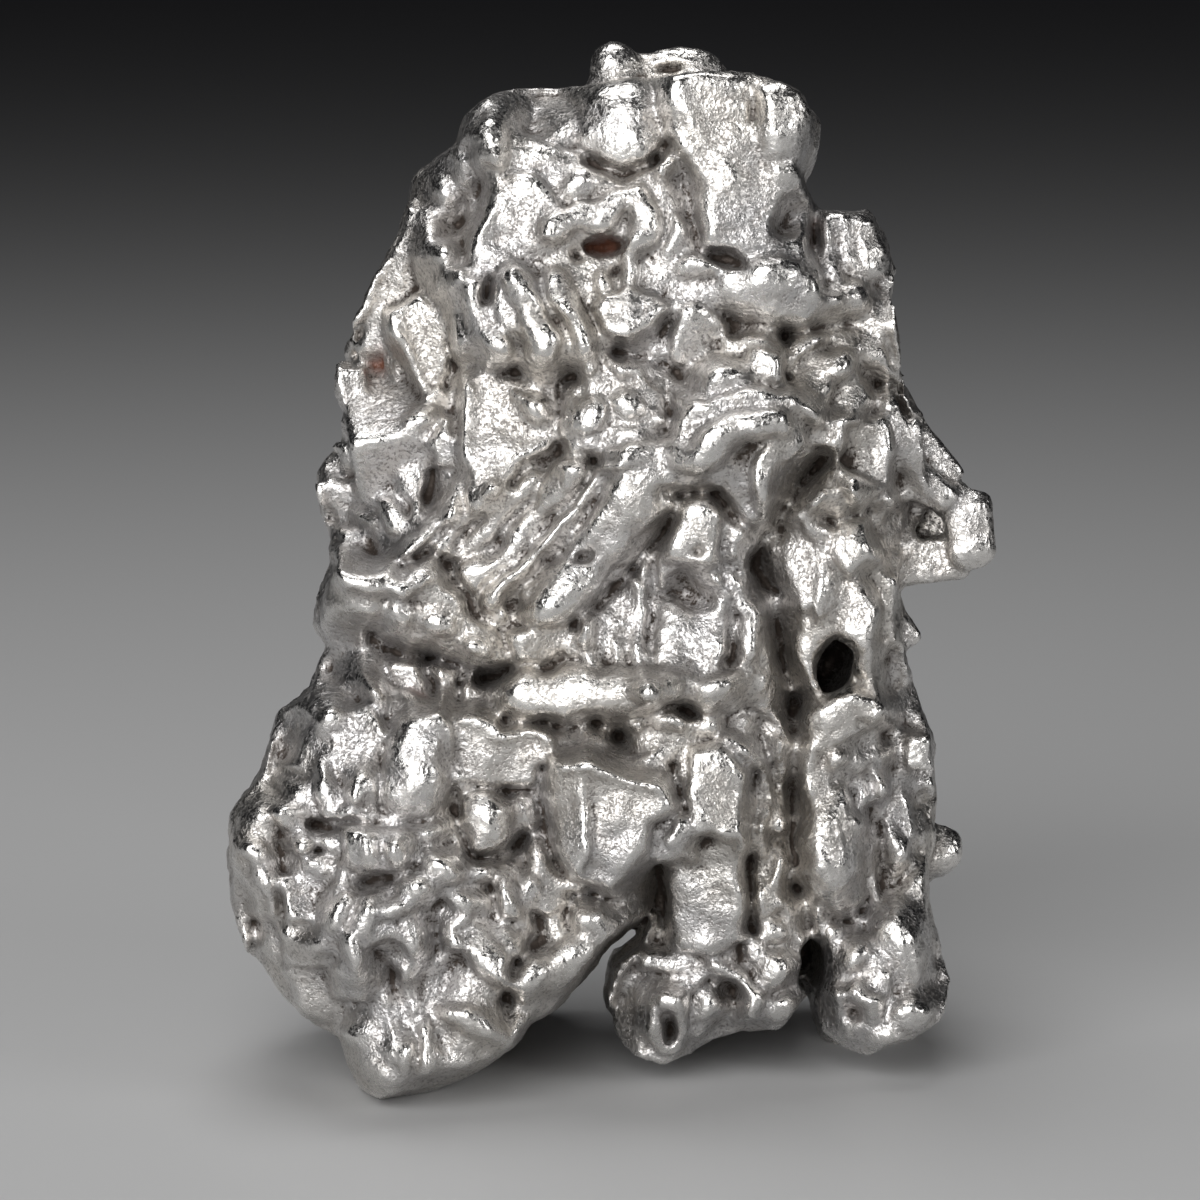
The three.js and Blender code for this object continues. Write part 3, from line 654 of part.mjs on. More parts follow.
// The mean depth and steepness of the sheet round one column of the field.
function column(i, j) {
  const mean = { front: 0, back: 0, mid: 0, inset: 0 };
  let n = 0;
  for (let a = -1; a <= 1; a++) {
    for (let b = -1; b <= 1; b++) {
      const si = clamp(3 * i + a, 0, across - 1);
      const sj = clamp(3 * j + b, 0, upward - 1);
      const c = sheet[si * upward + sj];
      for (const key of Object.keys(mean)) mean[key] += c[key];
      n++;
    }
  }
  for (const key of Object.keys(mean)) mean[key] /= n;
  return mean;
}
const columns = [];
for (let i = 0; i < counts[0]; i++) {
  columns.push([]);
  for (let j = 0; j < counts[1]; j++) columns[i].push(column(i, j));
}
const steep = (i, j, key) => {
  const get = (a, b) => columns[clamp(a, 0, counts[0] - 1)][clamp(b, 0, counts[1] - 1)][key];
  const gu = (get(i + 1, j) - get(i - 1, j)) / (2 * CELL[0]);
  const gv = (get(i, j + 1) - get(i, j - 1)) / (2 * CELL[1]);
  return 1 / Math.sqrt(1 + Math.min(gu * gu + gv * gv, 16));
};
for (let i = 0; i < counts[0]; i++) {
  for (let j = 0; j < counts[1]; j++) {
    const c = columns[i][j];
    const flatFront = steep(i, j, "front");
    const flatBack = steep(i, j, "back");
    for (let k = 0; k < counts[2]; k++) {
      const w = BOX[2] + k * CELL[2];
      field[at(i, j, k)] = higher((w - c.front) * flatFront, (c.back - w) * flatBack, 0.4);
    }
  }
}

// Every place of the field within reach of a point.
function near(centre, reach, visit) {
  const low = centre.map((c, a) => clamp(Math.floor((c - reach - BOX[a]) / CELL[a]), 0, counts[a] - 1));
  const high = centre.map((c, a) => clamp(Math.ceil((c + reach - BOX[a]) / CELL[a]), 0, counts[a] - 1));
  for (let i = low[0]; i <= high[0]; i++) {
    for (let j = low[1]; j <= high[1]; j++) {
      for (let k = low[2]; k <= high[2]; k++) visit(at(i, j, k), place(i, j, k), columns[i][j]);
    }
  }
}

// The offset of a point from a centre, in the axes of a thing turned, leaned up and leaned across.
function own(point, centre, turns) {
  const e = new THREE.Euler(turns[1], turns[2], turns[0], "YXZ");
  const m = new THREE.Matrix4().makeRotationFromEuler(e).transpose();
  return new THREE.Vector3(...point).sub(new THREE.Vector3(...centre)).applyMatrix4(m);
}

function brick(p, r, corner) {
  const q = [Math.abs(p.x) - r[0], Math.abs(p.y) - r[1], Math.abs(p.z) - r[2]].map((x) => x + corner);
  const out = Math.hypot(...q.map((x) => Math.max(x, 0)));
  return out + Math.min(Math.max(...q), 0) - corner;
}

function pebble(p, r) {
  const k0 = Math.hypot(p.x / r[0], p.y / r[1], p.z / r[2]);
  const k1 = Math.hypot(p.x / r[0] ** 2, p.y / r[1] ** 2, p.z / r[2] ** 2);
  return k0 < 1e-6 ? -Math.min(...r) : (k0 * (k0 - 1)) / k1;
}

// Melts a block or a pebble into the body; keep holds it within that much of the outline.
function grow(centre, r, turns, boxy, soft, keep) {
  near(centre, 1.5 * Math.max(...r) + CELL[2], (n, point, c) => {
    const p = own(point, centre, turns);
    let g = boxy > 0 ? brick(p, r, (1 - boxy) * Math.min(...r)) : pebble(p, r);
    if (keep !== undefined) g = Math.max(g, -(c.inset + keep));
    field[n] = lower(field[n], g, soft);
  });
}

function hollow(centre, r, turns, soft) {
  near(centre, 1.2 * Math.max(...r) + CELL[2], (n, point) => {
    field[n] = higher(field[n], -pebble(own(point, centre, turns), r), soft);
  });
}

function valueAt(point) {
  const [i, j, k] = point.map((c, a) => Math.floor((c - BOX[a]) / CELL[a]));
  const inside = i >= 0 && j >= 0 && k >= 0 && i < counts[0] && j < counts[1] && k < counts[2];
  return inside ? field[at(i, j, k)] : 9;
}

SOLIDS.forEach(([u, v, w, ru, rv, rw, turn, boxy]) => {
  const soft = Math.max(ru, rv) < 2.3 ? 0.15 : 1.6;
  grow([u, v, w], [ru, rv, rw], [(turn * Math.PI) / 180, 0, 0], boxy, soft);
});

// Loose blocks and holes, marched out to the surface of the flanks and the back.
for (let i = 0; i < SIDE_BLOCKS; i++) {
  const spin = (n) => lot(i, n, 5, 9);
  const v = 3.2 + 36.3 * ((i * 0.618034) % 1);
  const crossings = OUTLINE.map((a, n) => [a, OUTLINE[(n + 1) % OUTLINE.length]])
    .filter(([a, b]) => a[1] > v !== b[1] > v)
    .map(([a, b]) => a[0] + ((b[0] - a[0]) * (v - a[1])) / (b[1] - a[1]));
  if (crossings.length < 2) continue;
  const left = Math.min(...crossings);
  const right = Math.max(...crossings);
  const u = left + (right - left) * (0.5 + 0.3 * (spin(2) - 0.5));
  const w = middle(u, v);
  const heading = ((80 + 200 * spin(1)) * Math.PI) / 180;
  const outTo = (t) => [u + Math.sin(heading) * t, v, w + Math.cos(heading) * t];
  let t = 0.5;
  while (t < 16 && valueAt(outTo(t)) < 0) t += 0.15;
  const size = 0.6 + 1.25 * spin(3) ** 1.5;
  const r = [0.8 + 0.9 * spin(4), 0.6 + 0.5 * spin(5), 0.5 + 0.4 * spin(6)].map((x) => x * size);
  if (spin(7) < 0.16) {
    hollow(outTo(t + 0.1), r.map((x) => 0.8 * x), [6.3 * spin(8), 1.2 * spin(9), heading], 0.3);
  } else {
    const turns = [6.3 * spin(8), 0.8 * (spin(9) - 0.5), heading + 0.5 * (spin(10) - 0.5)];
    grow(outTo(t - 0.25 * size), r, turns, spin(11) < 0.7 ? 0.75 : 0, 0.35, 0.15);
  }
}

// Crystal grains over the flanks and the back, fading out on the face.
for (let i = 0; i < counts[0]; i++) {
  for (let j = 0; j < counts[1]; j++) {
    for (let k = 0; k < counts[2]; k++) {
      const n = at(i, j, k);
      const [u, v, w] = place(i, j, k);
      const near = clamp(1 + columns[i][j].inset / 0.8, 0, 1);
      const t = near * clamp(((w - columns[i][j].mid) / FRONT - 0.05) / 0.5, 0, 1);
      const height = v * Math.cos(LEAN) + w * Math.sin(LEAN);
      const fade = clamp((height - 0.4) / 2.5, 0, 1) * (0.4 + 0.6 * near) * clamp((41.2 - v) / 0.8, 0, 1);
      const side = fade * (1 - t * t * (3 - 2 * t));
      if (Math.abs(field[n]) > 1.8 || side < 0.02) continue;
      const [x, y, z] = [u, v, w].map((c, m) => c + 0.5 * waves(u / 2.1, v / 2.1, w / 2.1, 81 + m));
      const share = 0.3 + 0.7 * near;
      const large = share * SIDE_GRAIN * grains(x / 3.0, y / 3.4, z / 3.0, 61, 0.6, 0.5, 0.8);
      const small = (0.3 + 0.3 * share) * grains(x / 1.35, y / 1.5, z / 1.35, 71, 0.6, 0.6, 0.7);
      field[n] -= side * (large + small - 0.35 * share);
    }
  }
}

CUTS.forEach(([u, v, w, ru, rv, rw, turn]) => {
  hollow([u, v, w], [ru, rv, rw], [(turn * Math.PI) / 180, 0, 0], 0.3);
});

// The feet are worn flat where the body rests, and nothing touches the sides of the box.
for (let i = 0; i < counts[0]; i++) {
  for (let j = 0; j < counts[1]; j++) {
    for (let k = 0; k < counts[2]; k++) {
      const n = at(i, j, k);
      const [, v, w] = place(i, j, k);
      const height = v * Math.cos(LEAN) + w * Math.sin(LEAN);
      field[n] = Math.max(field[n], REST - height);
      const rim = [i, j, k].some((c, a) => c === 0 || c === counts[a] - 1);
      if (rim) field[n] = 1;
    }
  }
}

// Skinning: one point in each cell the surface crosses, one four-sided face over each crossed edge.
const CORNERS = [0, 1, 2, 3, 4, 5, 6, 7].map((c) => [c & 1, (c >> 1) & 1, c >> 2]);
const EDGES = [];
for (let c = 0; c < 8; c++) {
  for (const bit of [1, 2, 4]) if (!(c & bit)) EDGES.push([c, c | bit]);
}

// How many separate groups the corners with this sign make.
function groups(code, sign) {
  const left = new Set([0, 1, 2, 3, 4, 5, 6, 7].filter((c) => ((code >> c) & 1) === sign));
  let n = 0;
  while (left.size) {
    n++;
    const todo = [left.values().next().value];
    left.delete(todo[0]);
    while (todo.length) {
      const c = todo.pop();
      for (const bit of [1, 2, 4]) {
        if (left.delete(c ^ bit)) todo.push(c ^ bit);
      }
    }
  }
  return n;
}
const SPLIT = Array.from({ length: 256 }, (_, code) => groups(code, 0) > 1 || groups(code, 1) > 1);

const codeAt = (i, j, k) =>
  CORNERS.reduce((code, o, c) => code | ((field[at(i + o[0], j + o[1], k + o[2])] < 0 ? 1 : 0) << c), 0);
const within = (i, j, k) =>
  i >= 0 && j >= 0 && k >= 0 && i < counts[0] - 1 && j < counts[1] - 1 && k < counts[2] - 1;

function* cells() {
  for (let i = 0; i < counts[0] - 1; i++) {
    for (let j = 0; j < counts[1] - 1; j++) {
      for (let k = 0; k < counts[2] - 1; k++) yield [i, j, k];
    }
  }
}

// A cell that two sheets pass through would pinch the skin: turn the corner that heals the most cells.
for (let turn = 0; turn < 100; turn++) {
  const bad = [...cells()].filter((c) => SPLIT[codeAt(...c)]);
  if (!bad.length) break;
  for (const [i, j, k] of bad) {
    if (!SPLIT[codeAt(i, j, k)]) continue;
    let best = null;
    for (const o of CORNERS) {
      const p = [i + o[0], j + o[1], k + o[2]];
      let gain = 0;
      CORNERS.forEach((q, c) => {
        const n = [p[0] - q[0], p[1] - q[1], p[2] - q[2]];
        if (!within(...n)) return;
        const code = codeAt(...n);
        gain += (SPLIT[code] ? 1 : 0) - (SPLIT[code ^ (1 << c)] ? 1 : 0);
      });
      const score = gain - 0.5 * Math.abs(field[at(...p)]) + 0.3 * lot(...p, turn);
      if (!best || score > best.score) best = { score, p };
    }
    const n = at(...best.p);
    field[n] = field[n] < 0 ? 0.02 : -0.02;
  }
}

const points = [];
const indexOf = new Map();
for (const [i, j, k] of cells()) {
  const code = codeAt(i, j, k);
  if (code === 0 || code === 255) continue;
  const sum = [0, 0, 0];
  let n = 0;
  for (const [a, b] of EDGES) {
    const fa = field[at(i + CORNERS[a][0], j + CORNERS[a][1], k + CORNERS[a][2])];
    const fb = field[at(i + CORNERS[b][0], j + CORNERS[b][1], k + CORNERS[b][2])];
    if (fa < 0 === fb < 0) continue;
    const t = fa / (fa - fb);
    for (let x = 0; x < 3; x++) sum[x] += CORNERS[a][x] + (CORNERS[b][x] - CORNERS[a][x]) * t;
    n++;
  }
  indexOf.set(at(i, j, k), points.length);
  points.push(place(i + sum[0] / n, j + sum[1] / n, k + sum[2] / n));
}

// From the leaned frame to the upright one, the worn feet dead flat.
const standing = points.map(([u, v, w]) => {
  const height = v * Math.cos(LEAN) + w * Math.sin(LEAN);
  return [u, v * Math.sin(LEAN) - w * Math.cos(LEAN), height < REST + WORN ? REST : height];
});

const faces = [];
for (let i = 1; i < counts[0] - 1; i++) {
  for (let j = 1; j < counts[1] - 1; j++) {
    for (let k = 1; k < counts[2] - 1; k++) {
      for (let axis = 0; axis < 3; axis++) {
        const step = [0, 1, 2].map((x) => (x === axis ? 1 : 0));
        const here = field[at(i, j, k)] < 0;
        if (here === field[at(i + step[0], j + step[1], k + step[2])] < 0) continue;
        const ring = [[-1, -1], [0, -1], [0, 0], [-1, 0]].map(([b, c]) => {
          const cell = [i, j, k];
          cell[(axis + 1) % 3] += b;
          cell[(axis + 2) % 3] += c;
          return indexOf.get(at(...cell));
        });
        if (!here) ring.reverse();
        const gap = (a, b) => Math.hypot(...standing[a].map((x, n) => x - standing[b][n]));
        const [a, b, c, d] = ring;
        if (gap(a, c) < gap(b, d)) faces.push([a, b, c], [a, c, d]);
        else faces.push([a, b, d], [b, c, d]);
      }
    }
  }
}

// One body only: sealed bubbles and loose crumbs are dropped.
const parent = points.map((_, n) => n);
const rootOf = (n) => {
  while (parent[n] !== n) n = parent[n] = parent[parent[n]];
  return n;
};
for (const [a, b, c] of faces) {
  parent[rootOf(a)] = rootOf(b);
  parent[rootOf(b)] = rootOf(c);
}
const members = new Map();
for (const face of faces) {
  const root = rootOf(face[0]);
  if (!members.has(root)) members.set(root, []);
  members.get(root).push(face);
}
const bodyFaces = [...members.values()].sort((a, b) => b.length - a.length)[0];

// Thinning: the edge whose loss moves the surface least is drawn to one point, again and again.
// How far a point lies from the planes round it is kept as ten sums of products of their terms.
const live = new Map();
const sums = standing.map(() => new Float64Array(10));
const rings = standing.map(() => new Set());
const cross = (a, b, c) => {
  const [p, q] = [b, c].map((x) => x.map((y, n) => y - a[n]));
  return [p[1] * q[2] - p[2] * q[1], p[2] * q[0] - p[0] * q[2], p[0] * q[1] - p[1] * q[0]];
};
bodyFaces.forEach((face, n) => {
  live.set(n, [...face]);
  const out = cross(...face.map((m) => standing[m]));
  const size = Math.hypot(...out) || 1e-12;
  const [a, b, c] = out.map((x) => x / size);
  const d = -(a * standing[face[0]][0] + b * standing[face[0]][1] + c * standing[face[0]][2]);
  const terms = [a * a, a * b, a * c, a * d, b * b, b * c, b * d, c * c, c * d, d * d];
  for (const m of face) {
    rings[m].add(n);
    terms.forEach((x, k) => (sums[m][k] += x * size));
  }
});
const strain = (s, [x, y, z]) =>
  s[0] * x * x + s[4] * y * y + s[7] * z * z + s[9] +
  2 * (s[1] * x * y + s[2] * x * z + s[5] * y * z + s[3] * x + s[6] * y + s[8] * z);

// The point of least strain for an edge; a point of a worn foot stays in its flat.
function meeting(a, b) {
  const s = sums[a].map((x, k) => x + sums[b][k]);
  const [p, q] = [standing[a], standing[b]];
  const choices = [p, q, p.map((x, n) => (x + q[n]) / 2)];
  const slopes = new THREE.Matrix3().set(s[0], s[1], s[2], s[1], s[4], s[5], s[2], s[5], s[7]);
  if (Math.abs(slopes.determinant()) > 1e-4) {
    const least = new THREE.Vector3(-s[3], -s[6], -s[8]).applyMatrix3(slopes.invert()).toArray();
    if (Math.hypot(...least.map((x, n) => x - choices[2][n])) < FARTHEST) choices.push(least);
  }
  const worn = p[2] === REST || q[2] === REST;
  const allowed = worn ? choices.filter((c) => c[2] === REST) : choices.filter((c) => c[2] > REST);
  let best = null;
  for (const c of allowed) {
    const cost = strain(s, c) + SHORT_FIRST * Math.hypot(...p.map((x, n) => x - q[n])) ** 2;
    if (!best || cost < best.cost) best = { cost, a, b, place: c };
  }
  return best;
}

const stamp = standing.map(() => 0);
const heap = [];
function push(item) {
  let n = heap.push(item) - 1;
  while (n > 0 && heap[(n - 1) >> 1].cost > item.cost) {
    heap[n] = heap[(n - 1) >> 1];
    n = (n - 1) >> 1;
  }
  heap[n] = item;
}
function pop() {
  const first = heap[0];
  const last = heap.pop();
  if (heap.length) {
    let n = 0;
    for (;;) {
      let m = 2 * n + 1;
      if (m + 1 < heap.length && heap[m + 1].cost < heap[m].cost) m++;
      if (m >= heap.length || heap[m].cost >= last.cost) break;
      heap[n] = heap[m];
      n = m;
    }
    heap[n] = last;
  }
  return first;
}
function offer(a, b) {
  const item = meeting(a, b);
  if (item) push({ ...item, when: [stamp[a], stamp[b]] });
}
const besides = (a) => new Set([...rings[a]].flatMap((n) => live.get(n)).filter((m) => m !== a));
for (const face of bodyFaces) {
  face.forEach((a, n) => {
    const b = face[(n + 1) % 3];
    if (a < b) offer(a, b);
  });
}
while (live.size > MOST_FACES && heap.length) {
  const { a, b, place: spot, when } = pop();
  if (when[0] !== stamp[a] || when[1] !== stamp[b] || !rings[a].size || !rings[b].size) continue;
  const shared = [...besides(a)].filter((m) => besides(b).has(m));
  if (shared.length !== 2 || shared.some((m) => rings[m].size < 5)) continue;
  const turnsOver = [a, b].some((m) =>
    [...rings[m]].some((n) => {
      const face = live.get(n);
      if (face.includes(a) && face.includes(b)) return false;
      const was = cross(...face.map((k) => standing[k]));
      const is = cross(...face.map((k) => (k === m ? spot : standing[k])));
      const size = Math.hypot(...is);
      const alike = was.reduce((sum, x, k) => sum + x * is[k], 0);
      return alike < LEAST_COS * size * Math.hypot(...was) || size < SLIVER;
    }),
  );
  if (turnsOver) continue;
  standing[a] = spot;
  sums[b].forEach((x, k) => (sums[a][k] += x));
  for (const n of rings[b]) {
    const face = live.get(n);
    if (face.includes(a)) {
      for (const m of face) rings[m].delete(n);
      live.delete(n);
    } else {
      face[face.indexOf(b)] = a;
      rings[a].add(n);
    }
  }
  rings[b] = new Set();
  stamp[a]++;
  stamp[b]++;
  for (const m of besides(a)) offer(a, m);
}

const thinFaces = [...live.values()];
const kept = new Map();
for (const n of thinFaces.flat()) if (!kept.has(n)) kept.set(n, kept.size);
const body = [...kept.keys()].map((n) => standing[n]);

// The frame: middle of the footprint at the origin, the worn feet on z = 0.
const low = [0, 1, 2].map((x) => Math.min(...body.map((p) => p[x])));
const high = [0, 1, 2].map((x) => Math.max(...body.map((p) => p[x])));
const shift = [(low[0] + high[0]) / 2, (low[1] + high[1]) / 2, low[2]];
const geometry = new THREE.BufferGeometry();
geometry.setAttribute(
  "position",
  new THREE.Float32BufferAttribute(body.flatMap((p) => p.map((x, n) => x - shift[n])), 3),
);
geometry.setIndex(thinFaces.flat().map((n) => kept.get(n)));
geometry.computeVertexNormals();

const iron = new THREE.MeshStandardMaterial({ name: "iron", color: 0x9c9894, metalness: 1, roughness: 0.32 });
const meteorite = new THREE.Mesh(geometry, iron);
meteorite.name = "meteorite";
const part = new THREE.Group();
part.name = "iron_meteorite";
part.add(meteorite);

export default part;
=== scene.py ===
"""Iron meteorite: a small coarse-grained iron individual standing on its lobed lower end.

Metres, +Z up, the worked face looks along -Y. The lists below are in millimetres in the
sculpting frame, which leans back from upright: across (right), up the face, and out of it.
"""

import math

import bpy
import numpy as np
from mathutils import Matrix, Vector


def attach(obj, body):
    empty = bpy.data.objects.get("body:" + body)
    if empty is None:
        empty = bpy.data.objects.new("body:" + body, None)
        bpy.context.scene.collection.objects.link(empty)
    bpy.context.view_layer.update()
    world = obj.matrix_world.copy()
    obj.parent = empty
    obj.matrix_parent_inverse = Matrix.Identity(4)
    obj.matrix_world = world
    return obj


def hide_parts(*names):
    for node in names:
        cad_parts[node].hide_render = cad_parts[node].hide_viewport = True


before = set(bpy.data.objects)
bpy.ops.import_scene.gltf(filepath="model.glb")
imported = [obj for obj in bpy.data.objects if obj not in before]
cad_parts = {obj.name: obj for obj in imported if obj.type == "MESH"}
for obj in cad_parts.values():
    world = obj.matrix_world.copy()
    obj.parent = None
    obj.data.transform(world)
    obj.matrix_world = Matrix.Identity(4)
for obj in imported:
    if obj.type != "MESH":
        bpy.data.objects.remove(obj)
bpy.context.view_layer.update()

# Sizes of the sculpting, in millimetres
LEAN = math.radians(9.0)  # how far the face leans back from upright
RIM = 5.0                 # how far in from the outline the body goes on swelling
FRONT, BACK = 6.2, 7.0    # greatest depth before and behind the middle plane
FACE_GRAIN = 1.3          # swing of the large grains of the face
SIDE_GRAIN = 1.5          # swing of the grains of the flanks and the back
REST = 0.12               # height the worn feet are cut at
CELL = 0.17
LOW = (-18.5, -3.0, -16.5)    # across, up, out: corner of the field
HIGH = (18.0, 45.0, 14.0)
MOST_FACES = 196000
MM = 0.001

# How the forms are laid
EDGE_KEPT = 0.65          # share of a block's listed edge rounding that is used
PRESSED = 0.85            # share of what stands over a block that is pressed down to it
KNOB_RISE = 1.25          # factor on the heights of the knobs
KNOB_FULL = 0.8           # height of a knob's cap for its lesser half size
KNOB_LEAN = 0.6           # swing of the slope of a knob
LEAST_CLEFT = 0.4         # narrowest half width of a cleft
CLEFT_STEEP = 2.6         # most depth of a cleft for its half width
SMOOTHED = 0.1            # share that a place of the face takes from each neighbour at the end
STEEPEST = 16             # square of the steepest slope that the field allows for
SMALL_MASS = 2.3          # masses in the round under this half size join sharply
# how softly things meet what lies under them: blocks and bars, knobs, the front and the back,
# small masses, large masses, loose blocks, hollows
SHARP, KNOB_SOFT, RIM_SOFT = 0.05, 0.3, 0.4
SMALL_SOFT, LARGE_SOFT, LOOSE_SOFT, HOLLOW_SOFT = 0.15, 1.6, 0.35, 0.3

# Forms by rule
FACE_CHIPS = 260          # FACE_CHIPS = 260 # small blocks over the face, under the listed ones
CHIP_STEPS = (0.7549, 0.5698)     # fractions that spread them evenly, across and up
SIDE_BLOCKS = 260         # loose blocks and holes over the flanks and the back
GOLDEN = 0.618034         # fraction that spreads their heights evenly
LOWEST, SPREAD = 3.2, 36.3        # lowest of their heights, and how far they go up from it
MARCH, FURTHEST = 0.15, 16        # step and longest way out to the surface
HOLE_SHARE, BRICK_SHARE = 0.16, 0.7       # holes among all of them, bricks among the rest
GRAINS_TOP = 41.2         # height up the face over which the flanks have no grains
HEAL_TURNS = 200          # most turns of healing the field
NUDGE = 0.02              # how far past zero a healed corner goes, in cells
NEAR_ROUNDS, FAR_ROUNDS, CREASE_ROUNDS = 6, 60, 4     # of relaxing, to tell how deep a point lies

# View and light, in metres and watts
WATCHED = (-0.7, 19.6, 0.0)       # across, up, out in mm: the point the camera looks at
EYE_AWAY = 0.2075                 # from that point to the camera
LENS, FILM = 150.0, 36.0          # focal length and film width, in millimetres
FLOOR_HALF = 1.2                  # half the side of the floor
LAMPS_AIM = (0.0, 0.0, 0.02)
LAMPS = [
    # name, place, side, watts
    ("key", (-0.13, -0.30, 0.16), 0.32, 1.35),
    ("fill", (0.26, -0.16, 0.12), 0.14, 0.22),
    ("top", (-0.03, 0.05, 0.28), 0.16, 0.32),
]

# Linear colours
WARM_METAL = (0.71, 0.68, 0.64, 1)
COOL_METAL = (0.62, 0.605, 0.60, 1)
DULL_METAL = (0.44, 0.405, 0.37, 1)
WORN_METAL = (0.86, 0.84, 0.81, 1)
# dark oxide colour, also laid in creases and hollows as painted shade
OXIDE_AND_SHADE = (0.055, 0.042, 0.034, 1)
RUST_BROWN = (0.16, 0.05, 0.022, 1)
FLOOR_GREY = (0.5, 0.5, 0.5, 1)
DIM_ROOM = (0.008, 0.008, 0.009, 1)

# The outline of the face: across, up
OUTLINE = [
    [-0.8,40.4], [0.5,40.7], [1.5,40.6], [3.6,40.8], [5,40.8], [6.3,40.5], [7.3,40], [7.8,39.1],
    [7.75,38.1], [7.2,37], [7.7,35.9], [8.1,35.3], [10.2,35.2], [10.7,34.3], [11,33], [10.8,31.7],
    [11,31.1], [11.1,29.8], [11.2,28.4], [11.5,27.8], [12,26.6], [12.2,25], [12.2,23.4], [11.6,22],
    [11.2,20.8], [11.1,19.4], [11.2,18], [11.7,16.4], [12,15.3], [12.6,13.8], [12.8,12.2], [12.85,10.6],
    [12.7,8.2], [12.7,6.8], [13.2,5], [13.5,3.9], [13.1,2.5], [12,1.8], [10.9,1.5], [10.3,1], [9.5,1.3],
    [8.7,1.9], [8.4,3.3], [7.9,3.7], [7.3,3.1], [6.6,2.1], [4.9,2], [3.8,1.7], [2.9,1], [1.8,0.8],
    [0.8,1.1], [0.1,1.8], [0,3.2], [0.3,4.6], [1.3,5.3], [1.6,6.3], [2.3,7.6], [1.5,8], [1,6.9],
    [0.2,6.4], [-0.6,5.8], [-1.3,4.9], [-2,3.9], [-2.8,3], [-3.7,2.6], [-4.3,1.6], [-5.4,0.8], [-6.4,0.3],
    [-8.2,-0.1], [-9.6,-0.5], [-10.3,-0.1], [-10.8,1.2], [-11,2], [-12.2,2.5], [-13.3,3.6], [-14.6,5.4],
    [-15.2,7.2], [-15.45,9.4], [-15.5,10.7], [-15,11.4], [-14.2,12.2], [-13.8,13.6], [-13.5,14.7],
    [-12.3,15.7], [-11.9,16.6], [-11.4,17.7], [-12,18.6], [-11.8,20.1], [-11.3,21], [-11.6,22.5],
    [-12,24.6], [-11.2,26], [-10.8,27.2], [-11.1,28.7], [-10.9,30.1], [-10,31.4], [-9.6,32.6],
    [-8.7,34.2], [-8.1,35.8], [-7.9,36.9], [-7.1,37.7], [-6.4,38.2], [-6.1,39.3], [-5.2,40], [-4.2,40.3],
    [-2.2,40.35],
]

# Where the middle plane is pushed out or falls back: across, up, reach, push
BULGES = [
    [-9.5,8,6,2.4], [-10.8,28.5,5.5,-2.8], [11.8,9,6.5,-4.6], [9.8,20.5,3.5,0.2], [0,26,6,1.2],
    [10.2,32.5,3.5,-0.6], [3.5,4,3,-1.4], [-6.5,37.5,4,-1.8], [1,11.5,3.5,1], [12.5,25.5,3,-1.6],
    [-11.5,20.5,4,-1.2],
]

# Broad falls of the face, laid first: across, up, half sizes, turn in degrees, depth
DIPS = [
    # gutter between the head and the left flank, and the hollow left of the middle
    [-6.9,34.6,0.8,3.6,-6,1.2], [-7.2,29.4,0.7,2.6,6,1], [-9.6,24.4,1.8,2,0,0.9],
    [-7.6,23.6,0.9,2.4,-25,1.2],
    # under the jaw, under the lip
    [-7,16.5,3.6,1,-6,2.4], [-4.6,16.2,0.9,1.1,0,1.6], [-1.2,14.1,3.6,0.8,0,1.3], [0.2,14.6,0.8,0.7,0,1.2],
    # left of the crystal block, under the shield, beside the pillar
    [-4.6,9.8,2,3.2,-12,2.2], [-9.9,8.3,2.2,1,0,1.4], [-12,9.7,1.4,1,0,0.9], [6.2,9.2,1.2,5.6,0,2],
    [1.7,7.2,0.8,2.6,0,2.6],
    # the long right cleft and the notch above it
    [6.6,19.6,1.1,6,8,2.6], [7.2,24.2,1.6,1,30,1.6], [6.7,28.9,0.8,1.5,10,1.2], [0.3,19.6,0.9,1.6,0,1],
    [-4.2,21.6,3.2,2.4,40,0.9], [-1,29,5.4,0.8,-6,0.8], [10.2,23,2.4,0.9,0,1.6], [8,17,1.5,2,0,1.6],
    [7.9,4.6,0.8,1.6,0,2.4], [9.4,6.4,1.8,0.8,0,1.2], [-3.5,39.6,2.2,0.8,0,1], [1.2,37.2,1.4,0.7,0,0.8],
    [-13.6,6,0.8,2,20,0.8], [-8,5.9,2.6,0.9,0,0.8],
]

